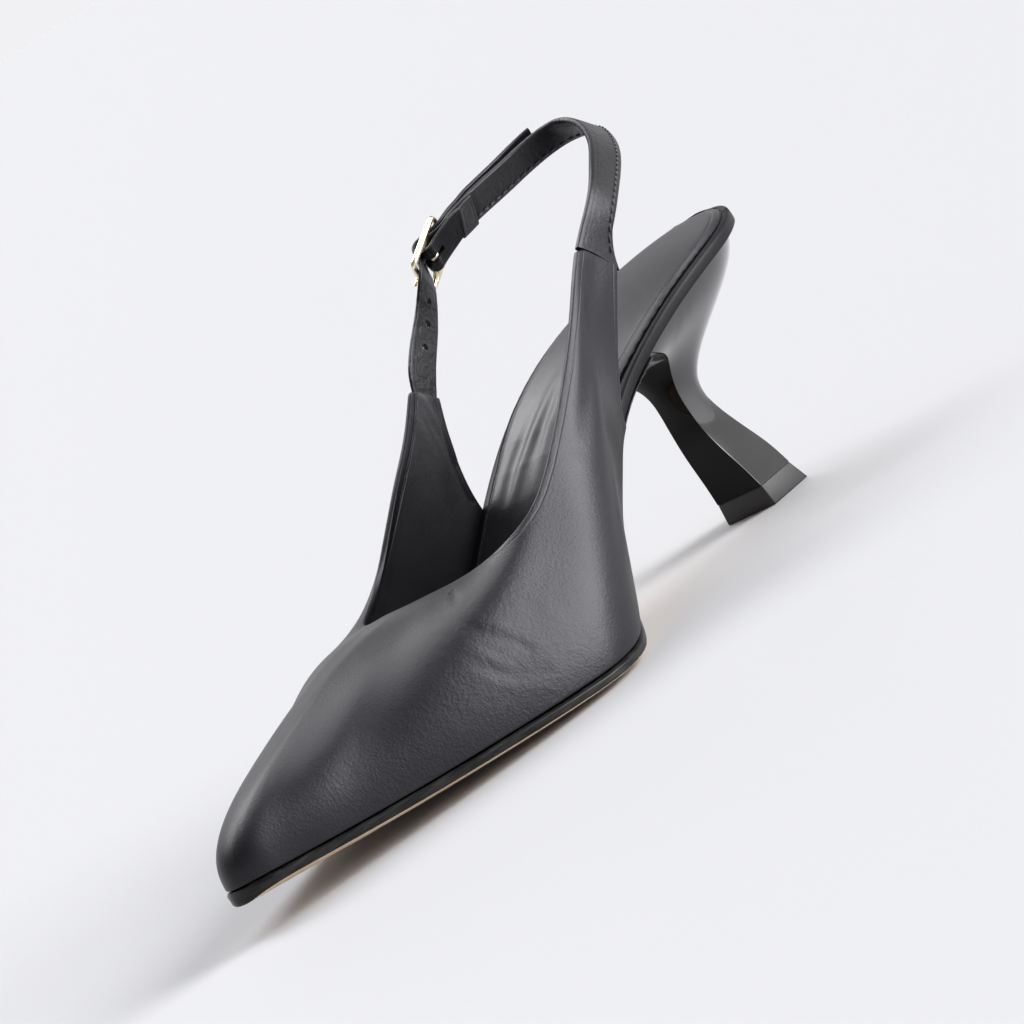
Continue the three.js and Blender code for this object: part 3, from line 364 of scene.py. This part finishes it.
def bevelSharp(shape, angle, width, segments=2):
    bmesh.ops.bevel(shape, geom=sharpEdges(shape, angle), offset=width * mm, offset_type="OFFSET",
                    affect="EDGES",
                    segments=segments, profile=0.5, material=-1, clamp_overlap=True)


def pieceFrom(shape, name, materials):
    mesh = bpy.data.meshes.new(name)
    shape.to_mesh(mesh)
    shape.free()
    if "custom_normal" in mesh.attributes:
        mesh.attributes.remove(mesh.attributes["custom_normal"])
    piece = bpy.data.objects.new(name, mesh)
    bpy.context.scene.collection.objects.link(piece)
    for material in materials:
        mesh.materials.append(material)
    mesh.shade_smooth()
    return piece


def smoothed(piece, levels):
    modifier = piece.modifiers.new("smooth", "SUBSURF")
    modifier.levels = levels
    modifier.render_levels = levels
    graph = bpy.context.evaluated_depsgraph_get()
    mesh = bpy.data.meshes.new_from_object(piece.evaluated_get(graph))
    old = piece.data
    piece.modifiers.clear()
    piece.data = mesh
    bpy.data.meshes.remove(old)
    mesh.shade_smooth()
    return piece


def join(piece, slotName, *nodes):
    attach(piece, "root")
    if nodes:
        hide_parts(*nodes)
    print(piece.name, "made,", len(piece.data.polygons), "faces")


def saveValues(piece, name, values):
    attribute = piece.data.attributes.new(name, "FLOAT", "POINT")
    attribute.data.foreach_set("value", values)


def treeOf(points):
    tree = KDTree(len(points))
    for i, point in enumerate(points):
        tree.insert(point, i)
    tree.balance()
    return tree


def along(points, step):
    # A smooth line through a few points, one point for each step in millimetres
    ends = [points[0] * 2 - points[1]] + list(points) + [points[-1] * 2 - points[-2]]
    line = []
    for a, b, c, d in zip(ends, ends[1:], ends[2:], ends[3:]):
        count = max(1, round((c - b).length / (step * mm)))
        for k in range(count):
            t = k / count
            line.append(0.5 * ((2 * b) + (c - a) * t + (2 * a - 5 * b + 4 * c - d) * t * t
                               + (3 * b - a - 3 * c + d) * t ** 3))
    line.append(points[-1].copy())
    return line


def bell(distance, width):
    return math.exp(-(distance / width) ** 2)


def fadeAlong(index, last, ends):
    # A crease is deepest in its middle and keeps a little of its depth at the ends
    return math.sin(math.pi * (ends + (1 - 2 * ends) * index / last)) ** 0.8


def edgeChains(shape, chosen):
    # Orders chosen edges into lines of vertices, end to end
    left = set(chosen)
    chains = []
    while left:
        first = left.pop()
        chain = [first.verts[0], first.verts[1]]
        for atEnd in (True, False):
            while True:
                tip = chain[-1] if atEnd else chain[0]
                before = chain[-2] if atEnd else chain[1]
                heading = (tip.co - before.co).normalized()
                straight = {e: (e.other_vert(tip).co - tip.co).normalized().dot(heading)
                            for e in tip.link_edges if e in left}
                best = max(straight, key=straight.get, default=None)
                if best is None or straight[best] <= 0.5:
                    break
                left.discard(best)
                nextVert = best.other_vert(tip)
                if atEnd:
                    chain.append(nextVert)
                else:
                    chain.insert(0, nextVert)
        chains.append(chain)
    return chains


gapLook = {"closed": 0.85, "steep": 1.6}


def closeGap(piece, node, reach):
    # What is glued to a neighbour is drawn down on to it, over the gap that the solids keep
    other = skinOf(node)
    for vertex in piece.data.vertices:
        spot, normal, index, distance = other.find_nearest(vertex.co, reach * mm)
        if spot:
            share = gapLook["closed"] * min(1.0, gapLook["steep"] * (1 - distance / (reach * mm)))
            vertex.co = vertex.co.lerp(spot, share)
    piece.data.update()


def tuckEnd(piece, node, look):
    # A strap's sewn end runs on between the wing's outside and its lining
    other = skinOf(node)
    touching = [v.co.copy() for v in piece.data.vertices if other.find_nearest(v.co)[3] < look["touch"] * mm]
    end = sum(touching, Vector()) / len(touching)
    behind = [v.co.copy() for v in piece.data.vertices
              if look["behind"][0] * mm < (v.co - end).length < look["behind"][1] * mm]
    heading = (end - sum(behind, Vector()) / len(behind)).normalized()
    for vertex in piece.data.vertices:
        away = vertex.co - end
        if away.length < 3 * look["narrowReach"] * mm:
            # The strap narrows a little into the seam
            share = min(1.0, max(0.0, 1 + away.dot(heading) / (look["narrowReach"] * mm)))
            across = away - heading * away.dot(heading)
            vertex.co -= across * look["narrow"] * share * share * min(1.0, across.length / (2 * mm))
        if away.length < 4 * look["reach"] * mm:
            share = max(0.0, 1 + away.dot(heading) / (look["reach"] * mm))
            vertex.co += heading * look["tuck"] * mm * min(1.0, share)
    piece.data.update()


def stitchRow(shape, line, normals, look):
    # Short lengths of thread lying along a line, each sunk by half its thickness
    pitch = (look["length"] + look["space"]) * mm
    travelled = [0.0]
    for a, b in zip(line, line[1:]):
        travelled.append(travelled[-1] + (b - a).length)
    count = int(travelled[-1] / pitch)
    step = 0
    for i in range(count):
        middle = (i + 0.5) * travelled[-1] / count
        while travelled[step + 1] < middle:
            step += 1
        share = (middle - travelled[step]) / (travelled[step + 1] - travelled[step])
        place = line[step].lerp(line[step + 1], share)
        up = normals[step].lerp(normals[step + 1], share).normalized()
        run = (line[step + 1] - line[step]).normalized()
        side = up.cross(run).normalized()
        up = run.cross(side)
        turn = Matrix((run, side, up)).transposed().to_4x4()
        sizes = Matrix.Diagonal((look["length"] / 2 * mm, look["thick"] / 2 * mm, look["thick"] / 2 * mm, 1))
        centre = place + up * (look["proud"] * mm)
        bmesh.ops.create_uvsphere(shape, u_segments=8, v_segments=5, radius=1.0,
                                  matrix=Matrix.Translation(centre) @ turn @ sizes)


# Upper: the hollow solid, rounded at its turned edges and creased along listed lines

upperLook = {
    "edgeRound": 0.42, "liningMargin": 2.2, "flexCentre": (47, 30, 20), "flexReach": 26,
    "toeFlexCentre": (92, 12, 20), "toeFlexReach": 15,
    "corner": (-36.5, 18, 38), "cornerReach": 8, "cornerPull": 1.3,
    "sharp": 50, "levels": 2, "strapSeam": 1.2, "soleSeam": 3.2, "closeReach": 1.0,
    "waist": -35, "toeEnd": 108, "insideBehind": 4, "insideRise": 5, "creaseStep": 0.3, "creaseEnds": 0.08,
}
# A crease's raised shoulders: height and width against the trough's own, and their distance in half widths
shoulder = {"height": 0.35, "width": 0.8, "away": 1.7}
# Each crease: points on the skin in millimetres, its half width, and its depth where a trough is above zero
creases = [
    {"points": [(-53, 20.7, 75.5), (-43, 23, 70), (-31, 25.7, 62.4), (-19, 27.9, 54.8), (-7, 30, 47.5)],
     "width": 2.2, "depth": -0.34},
    {"points": [(-52, 20, 72), (-41, 22, 66), (-29, 24.5, 58), (-17, 27, 50), (-5, 29, 43)],
     "width": 2.6, "depth": 0.26},
    {"points": [(-52, -28, 70), (-40, -28.5, 62), (-30, -29, 54)], "width": 1.8, "depth": 0.2},
    {"points": [(39.4, 18.1, 35), (41.5, 20, 34.4), (44, 22, 33.4)], "width": 0.9, "depth": 0.10},
    {"points": [(49, 25, 30), (49, 29, 25.5), (47, 32, 21), (45, 34.5, 16)], "width": 1.7, "depth": 0.16},
    {"points": [(52, 27, 27), (51, 30.5, 22.5), (49, 33, 17), (46, 36, 12.5)],
     "width": 1.5, "depth": 0.12},
    {"points": [(56, 28, 22.5), (54, 31, 18), (51, 33.5, 14.5), (47, 36, 10.5)],
     "width": 1.6, "depth": 0.11},
    {"points": [(47, 8, 36), (60, 14, 32), (70, 16.5, 27), (80, 16.5, 21)], "width": 4.5, "depth": 0.18},
    {"points": [(50, -24, 28), (52, -29, 23), (50, -33, 17), (47, -36, 12)], "width": 2.0, "depth": 0.13},
    {"points": [(55, -23, 25), (57, -28, 19), (55, -32, 13)], "width": 1.7, "depth": 0.11},
    {"points": [(-35, -27.5, 67), (-34.3, -28.3, 60), (-33.5, -29.2, 51)], "width": 1.5, "depth": -0.4,
     "inside": True},
    {"points": [(-30, -27.5, 62), (-29.5, -28.4, 54), (-27.5, -29, 45)], "width": 2.2, "depth": -0.35,
     "inside": True},
]
# Where the shaped skin stands a little off the plain wall: place, reach and move, all in millimetres
swells = [
    {"at": (48, -20, 33), "reach": 15, "move": (0.1, -0.75, 1.15)},
    {"at": (86, -2, 25), "reach": 15, "move": (0, 0, -0.7)},
]


def makeUpper():
    shape = meshOf("upper")
    floorTree = skinOf("insole")
    strapTree = skinOf("heel_strap")
    billetTree = skinOf("billet")
    middle = {}

    def insideOf(x):
        # A point inside the shoe, a little behind and above the insole's middle
        key = round(x / mm)
        if key not in middle:
            above = Vector((min(x, upperLook["toeEnd"] * mm), 0, 200 * mm))
            hit = floorTree.ray_cast(above, Vector((0, 0, -1)))[0]
            height = (hit.z if hit else 0.0) + upperLook["insideRise"] * mm
            middle[key] = Vector((x - upperLook["insideBehind"] * mm, 0, height))
        return middle[key]

    for face in shape.faces:
        centre = face.calc_center_median()
        inside = insideOf(centre.x)
        face.material_index = 0 if face.normal.dot(centre - inside) > 0 else 1
    topline = []
    for edge in sharpEdges(shape, upperLook["sharp"]):
        point = (edge.verts[0].co + edge.verts[1].co) / 2
        strapAway = min(tree.find_nearest(point)[3] for tree in (strapTree, billetTree))
        floorAway = floorTree.find_nearest(point)[3]
        if strapAway >= upperLook["strapSeam"] * mm:
            if floorAway > upperLook["soleSeam"] * mm or point.x < upperLook["waist"] * mm:
                topline += pointsOn(edge)
    rimTree = treeOf(topline)
    bevelSharp(shape, upperLook["sharp"], upperLook["edgeRound"])
    piece = smoothed(pieceFrom(shape, "upper_skin", [calf, lining]), upperLook["levels"])
    mesh = piece.data
    outer = [False] * len(mesh.vertices)
    for polygon in mesh.polygons:
        if polygon.material_index == 0:
            for i in polygon.vertices:
                outer[i] = True
    normals = [v.normal.copy() for v in mesh.vertices]
    for crease in creases:
        line = along([inMetres(*p) for p in crease["points"]], upperLook["creaseStep"])
        lineTree = treeOf(line)
        last = len(line) - 1
        for vertex in mesh.vertices:
            if outer[vertex.index] == crease.get("inside", False):
                continue
            spot, index, distance = lineTree.find(vertex.co)
            if distance > 3 * crease["width"] * mm:
                continue
            fade = fadeAlong(index, last, upperLook["creaseEnds"])
            width = crease["width"] * mm
            side = bell(distance - shoulder["away"] * width, shoulder["width"] * width)
            depth = crease["depth"] * fade * (bell(distance, width) - shoulder["height"] * side)
            vertex.co -= normals[vertex.index] * depth * mm
    for swell in swells:
        centre = inMetres(*swell["at"])
        for vertex in mesh.vertices:
            vertex.co += inMetres(*swell["move"]) * bell((vertex.co - centre).length, swell["reach"] * mm)
    corner = inMetres(*upperLook["corner"])
    for vertex in mesh.vertices:
        mirrored = Vector((vertex.co.x, abs(vertex.co.y), vertex.co.z))
        pull = upperLook["cornerPull"] * mm * bell((mirrored - corner).length, upperLook["cornerReach"] * mm)
        vertex.co.y -= math.copysign(pull, vertex.co.y)
    rims = []
    flexes = []
    ball = inMetres(*upperLook["flexCentre"])
    toe = inMetres(*upperLook["toeFlexCentre"])
    for vertex in mesh.vertices:
        rims.append(rimTree.find(vertex.co)[2] / mm)
        co = vertex.co
        mirrored = Vector((co.x, abs(co.y), co.z))
        flexes.append(bell((mirrored - ball).length, upperLook["flexReach"] * mm)
                      + 0.5 * bell((mirrored - toe).length, upperLook["toeFlexReach"] * mm))
    saveValues(piece, "rimMm", rims)
    saveValues(piece, "flex", flexes)
    for polygon in mesh.polygons:
        if polygon.material_index == 1:
            if min(rims[i] for i in polygon.vertices) < upperLook["liningMargin"] - 0.4:
                polygon.material_index = 0
    mesh.update()
    closeGap(piece, "heel_strap", upperLook["closeReach"])
    closeGap(piece, "billet", upperLook["closeReach"])
    join(piece, "black_leather", "upper")


makeUpper()


# Sock, insole and outsole

sockLook = {"edgeRound": 0.3, "levels": 2, "thinning": 0.75, "thinWidth": 1.3, "widen": 1.5,
            "widenWithin": 5, "widenUntil": -52, "widenFade": 12, "wideFrom": 9, "cuts": 11,
            "settle": 0.27, "sharp": 50, "sideRise": 0.35, "topRise": 0.5, "seatCentre": -88, "flexReach": 12,
            "creaseStep": 0.25, "creaseEnds": 0.06}
# Soft folds of the sock, seen from above: points, half width, and depth where a trough is above zero
sockCreases = [
    {"points": [(-84, -2), (-79, 5), (-71, 12)], "width": 1.1, "depth": 0.16},
    {"points": [(-80, -4), (-75, 4), (-68, 11)], "width": 0.9, "depth": 0.12},
    {"points": [(-58, -11.2), (-49, -12.4), (-42, -13.9), (-34, -16.2), (-26, -17.6)],
     "width": 1.9, "depth": -0.42},
    {"points": [(-52, -15.6), (-44, -16.8), (-36, -18.8), (-28, -20)], "width": 1.7, "depth": 0.22},
    {"points": [(-48, -19.2), (-42, -20.6), (-36, -21.8), (-30, -22.6)], "width": 1.6, "depth": -0.26},
    {"points": [(-56, -7.2), (-46, -7.4), (-38, -8.2), (-30, -9.4)], "width": 2.0, "depth": -0.30},
    {"points": [(-54, -9.6), (-45, -10.4), (-36, -12)], "width": 1.6, "depth": 0.14},
]


def makeSock():
    shape = meshOf("sock")
    topEdge = []
    for edge in shape.edges:
        rises = sorted(face.normal.z for face in edge.link_faces)
        if len(rises) == 2 and rises[0] < sockLook["sideRise"] and rises[1] > sockLook["topRise"]:
            topEdge += pointsOn(edge)
    rimTree = treeOf(topEdge)
    top = skinOf("sock")
    # The wide top is cut finer, so that the folds have points to lie on
    wide = [edge for edge in shape.edges if edge.calc_length() > sockLook["wideFrom"] * mm]
    bmesh.ops.subdivide_edges(shape, edges=wide, cuts=sockLook["cuts"], use_grid_fill=True)
    bevelSharp(shape, sockLook["sharp"], sockLook["edgeRound"])
    piece = smoothed(pieceFrom(shape, "sock_lining", [kid]), sockLook["levels"])
    mesh = piece.data
    normals = [v.normal.copy() for v in mesh.vertices]
    flexes = [0.0] * len(mesh.vertices)
    for crease in sockCreases:
        dropped = [top.ray_cast(inMetres(x, y, 200), Vector((0, 0, -1)))[0] for x, y in crease["points"]]
        line = [top.find_nearest(point)[0] for point in along(dropped, sockLook["creaseStep"])]
        lineTree = treeOf(line)
        last = len(line) - 1
        for vertex in mesh.vertices:
            spot, index, distance = lineTree.find(vertex.co)
            flexes[vertex.index] = max(flexes[vertex.index], bell(distance, sockLook["flexReach"] * mm))
            if normals[vertex.index].z > 0.3 and distance < 3 * crease["width"] * mm:
                fade = fadeAlong(index, last, sockLook["creaseEnds"])
                depth = crease["depth"] * fade * bell(distance, crease["width"] * mm)
                vertex.co -= normals[vertex.index] * depth * mm
    rims = [rimTree.find(v.co)[2] / mm for v in mesh.vertices]
    for vertex in mesh.vertices:
        if normals[vertex.index].z > 0.2:
            vertex.co.z -= sockLook["thinning"] * mm * bell(rims[vertex.index], sockLook["thinWidth"])
        # Round the seat the sock reaches out nearly to the insole's rim
        co = vertex.co
        share = min(1.0, max(0.0, (sockLook["widenUntil"] * mm - co.x) / (sockLook["widenFade"] * mm) + 1))
        near = max(0.0, 1 - rims[vertex.index] / sockLook["widenWithin"])
        aside = rimTree.find(co)[0] - Vector((sockLook["seatCentre"] * mm, 0, co.z))
        aside.z = 0
        if co.x > sockLook["seatCentre"] * mm:
            aside.x = 0
        vertex.co += aside.normalized() * sockLook["widen"] * mm * share * near
        vertex.co.z -= sockLook["settle"] * mm
    saveValues(piece, "rimMm", rims)
    saveValues(piece, "flex", flexes)
    mesh.update()
    join(piece, "sock_leather", "sock")


makeSock()


soleLook = {"insoleSharp": 55, "insoleRound": 0.25, "outsoleSharp": 40, "outsoleRound": 0.2,
            "underRise": -0.6}


def makeInsole():
    shape = meshOf("insole")
    bevelSharp(shape, soleLook["insoleSharp"], soleLook["insoleRound"])
    piece = smoothed(pieceFrom(shape, "insole_wrapped", [rimLeather]), 2)
    join(piece, "black_leather", "insole")


makeInsole()


def makeOutsole():
    shape = meshOf("outsole")
    for face in shape.faces:
        face.material_index = 1 if face.normal.z < soleLook["underRise"] else 0
    bevelSharp(shape, soleLook["outsoleSharp"], soleLook["outsoleRound"])
    piece = smoothed(pieceFrom(shape, "outsole_leather", [inkedEdge, tanSole]), 1)
    join(piece, "sole_leather", "outsole")


makeOutsole()


# Heel and its top lift

heelLook = {"softBelow": 14, "softSpan": 20, "crisp": 0.75, "breastFrom": 0.72,
            "sharp": 50, "edgeRound": 0.3}
liftLook = {"sharp": 40, "edgeRound": 0.35, "segments": 3}


def makeHeel():
    shape = meshOf("heel")
    # Faces turned forward, the breast, take the lacquer copy with painted shade
    for face in shape.faces:
        face.material_index = 1 if face.normal.x > heelLook["breastFrom"] else 0
    bevelSharp(shape, heelLook["sharp"], heelLook["edgeRound"])
    crisp = shape.edges.layers.float.new("crease_edge")
    for edge in shape.edges:
        if edge.is_manifold:
            bend = math.degrees(edge.calc_face_angle())
            share = (bend - heelLook["softBelow"]) / heelLook["softSpan"]
            edge[crisp] = min(heelLook["crisp"], max(0.0, share))
    piece = smoothed(pieceFrom(shape, "heel_block", [lacquer, breastShadeLacquer]), 2)
    join(piece, "heel_gloss", "heel")


def makeLift():
    shape = meshOf("top_lift")
    bevelSharp(shape, liftLook["sharp"], liftLook["edgeRound"], liftLook["segments"])
    piece = pieceFrom(shape, "heel_top_lift", [rubber])
    join(piece, "lift_rubber", "top_lift")


makeHeel()
makeLift()


# Straps: each keeps its solid's run, and gains rounded edges and wrinkles. The sling has stitches too.

strapLook = {"edgeRound": 0.3, "sharp": 60, "rim": 30, "restFlex": 0.25, "stitchInset": 0.9}
tuckLook = {"touch": 0.7, "behind": (6, 9), "reach": 3.0, "tuck": 1.3, "narrow": 0.22, "narrowReach": 6.0}
stitchLook = {"length": 1.9, "space": 0.55, "thick": 0.5, "proud": 0.03, "bend": (25, 65), "wide": 3.5,
              "fewest": 12}


def makeStrap(node, name, turn):
    shape = meshOf(node)
    rimTree = treeOf([point for edge in sharpEdges(shape, strapLook["rim"]) for point in pointsOn(edge)])
    bevelSharp(shape, strapLook["sharp"], strapLook["edgeRound"])
    piece = smoothed(pieceFrom(shape, name, [strapLeather]), 2)
    centre = inMetres(*turn["at"])
    flexes = []
    for vertex in piece.data.vertices:
        bent = bell((vertex.co - centre).length, turn["reach"] * mm)
        flexes.append(strapLook["restFlex"] + (1 - strapLook["restFlex"]) * bent)
    saveValues(piece, "rimMm", [rimTree.find(v.co)[2] / mm for v in piece.data.vertices])
    saveValues(piece, "flex", flexes)
    tuckEnd(piece, "upper", tuckLook)
    join(piece, "black_leather", node)


makeStrap("heel_strap", "sling", {"at": (-106, -6, 99), "reach": 14})
makeStrap("billet", "billet_strap", {"at": (-48, -30, 77), "reach": 16})


def stitchLines(node, inset):
    # A line inside each long border between a wide face and its chamfer
    shape = meshOf(node)
    chosen = []
    for edge in shape.edges:
        if not edge.is_manifold:
            continue
        angle = math.degrees(edge.calc_face_angle())
        wide = max(edge.link_faces, key=lambda f: f.calc_area())
        across = wide.calc_area() / max(edge.calc_length(), 1e-6)
        if stitchLook["bend"][0] < angle < stitchLook["bend"][1] and across > stitchLook["wide"] * mm:
            chosen.append(edge)
    lines = []
    for chain in edgeChains(shape, chosen):
        if len(chain) < stitchLook["fewest"]:
            continue
        points = []
        normals = []
        for vertex in chain:
            wide = max(vertex.link_faces, key=lambda f: f.calc_area())
            inward = wide.calc_center_median() - vertex.co
            index = chain.index(vertex)
            run = (chain[min(index + 1, len(chain) - 1)].co - chain[max(index - 1, 0)].co).normalized()
            inward = (inward - run * inward.dot(run)).normalized()
            points.append(vertex.co + inward * inset * mm)
            normals.append(wide.normal.copy())
        lines.append((points[1:-1], normals[1:-1]))
    shape.free()
    return lines


def makeStitches(name, rows):
    shape = bmesh.new()
    for points, normals in rows:
        stitchRow(shape, points, normals, stitchLook)
    bmesh.ops.recalc_face_normals(shape, faces=shape.faces)
    piece = pieceFrom(shape, name, [thread])
    join(piece, "black_leather")


def lowerRows(rows):
    # The rows on both faces by the lower edge, which is where the strap is sewn shut
    rows = sorted(rows, key=lambda row: sum(p.z for p in row[0]) / len(row[0]))
    return rows[:len(rows) // 2]


slingRows = stitchLines("heel_strap", strapLook["stitchInset"])
print("stitch rows:", [len(row[0]) for row in slingRows])
makeStitches("sling_stitches", lowerRows(slingRows))


# Buckle

def makeWire(node, name):
    shape = meshOf(node)
    piece = smoothed(pieceFrom(shape, name, [gold]), 2)
    join(piece, "pale_gold", node)


makeWire("buckle_frame", "buckle_ring")
makeWire("buckle_prong", "buckle_pin")


# Floor, light and camera

studio = {
    "floorSize": 60.0, "floorColour": "#c3c3c6", "floorRoughness": 0.5, "floorSpecular": 0.15,
    "coveColour": "#f6f6f8", "coveStrength": 0.955, "coveHeight": 0.16,
    "ceilingColour": "#dfe1e6", "ceilingStrength": 0.30, "ceilingFrom": 0.42,
}
# Soft boxes far off: where each stands as seen from the shoe, its width in degrees and its power
suns = {
    "innerBehind": {"from": (-0.50, 0.75, 0.40), "spread": 44, "power": 4.8},
    "overhead": {"from": (-0.35, -0.12, 0.93), "spread": 40, "power": 1.3},
    "outerHigh": {"from": (-0.24, -0.64, 0.72), "spread": 32, "power": 1.35},
}
camera = {
    "place": (0.9069, 0.8732, 0.1880), "target": (-0.0036, 0.0051, 0.0378), "roll": 32.5,
    "lens": 200.0, "sensor": 36.0,
}


def makeFloor():
    shape = bmesh.new()
    bmesh.ops.create_grid(shape, x_segments=1, y_segments=1, size=studio["floorSize"] / 2)
    material, tree = emptyMaterial("paintedFloor")
    spot = addNode(tree, "ShaderNodeTexCoord").outputs["Object"]
    roller = addNode(tree, "ShaderNodeTexNoise", {"Scale": 400.0, "Detail": 3.0}, {"Vector": spot})
    rough = glossRange(tree, roller, studio["floorRoughness"], 0.0, 0.15)
    shader = addNode(tree, "ShaderNodeBsdfPrincipled",
                     {"Base Color": linearColour(studio["floorColour"]),
                      "Specular IOR Level": studio["floorSpecular"]},
                     {"Roughness": rough.outputs[0]})
    addNode(tree, "ShaderNodeOutputMaterial", links={"Surface": shader.outputs[0]})
    floor = pieceFrom(shape, "floor", [material])


def makeSun(name, look):
    data = bpy.data.lights.new(name, "SUN")
    data.energy = look["power"]
    data.angle = math.radians(look["spread"])
    light = bpy.data.objects.new(name, data)
    bpy.context.scene.collection.objects.link(light)
    light.rotation_mode = "QUATERNION"
    light.rotation_quaternion = (-Vector(look["from"])).to_track_quat("-Z", "Y")


def makeSky():
    # A white cove all round and a dimmer ceiling
    world = bpy.data.worlds.new("studio")
    bpy.context.scene.world = world
    world.use_nodes = True
    tree = world.node_tree
    tree.nodes.clear()
    ray = addNode(tree, "ShaderNodeTexCoord").outputs["Generated"]
    height = addNode(tree, "ShaderNodeSeparateXYZ", links={0: ray})
    rise = addNode(tree, "ShaderNodeMapRange",
                   {"From Min": studio["coveHeight"], "From Max": studio["ceilingFrom"]},
                   {"Value": height.outputs["Z"]}, interpolation_type="SMOOTHSTEP")
    cove = addNode(tree, "ShaderNodeBackground",
                   {"Color": linearColour(studio["coveColour"]), "Strength": studio["coveStrength"]})
    ceiling = addNode(tree, "ShaderNodeBackground",
                      {"Color": linearColour(studio["ceilingColour"]),
                       "Strength": studio["ceilingStrength"]})
    both = addNode(tree, "ShaderNodeMixShader",
                   links={0: rise.outputs[0], 1: cove.outputs[0], 2: ceiling.outputs[0]})
    addNode(tree, "ShaderNodeOutputWorld", links={"Surface": both.outputs[0]})


def makeCamera():
    data = bpy.data.cameras.new("photoCamera")
    data.lens = camera["lens"]
    data.sensor_width = camera["sensor"]
    data.clip_start = 0.05
    data.clip_end = 100
    view = bpy.data.objects.new("photoCamera", data)
    bpy.context.scene.collection.objects.link(view)
    place = Vector(camera["place"])
    look = Vector(camera["target"]) - place
    view.location = place
    view.rotation_mode = "QUATERNION"
    roll = Quaternion((0, 0, 1), -math.radians(camera["roll"]))
    view.rotation_quaternion = look.to_track_quat("-Z", "Y") @ roll
    bpy.context.scene.camera = view


makeFloor()
for sunName, sunLook in suns.items():
    makeSun(sunName, sunLook)
makeSky()
makeCamera()
bpy.context.scene.view_settings.view_transform = "Standard"
print("studio made")
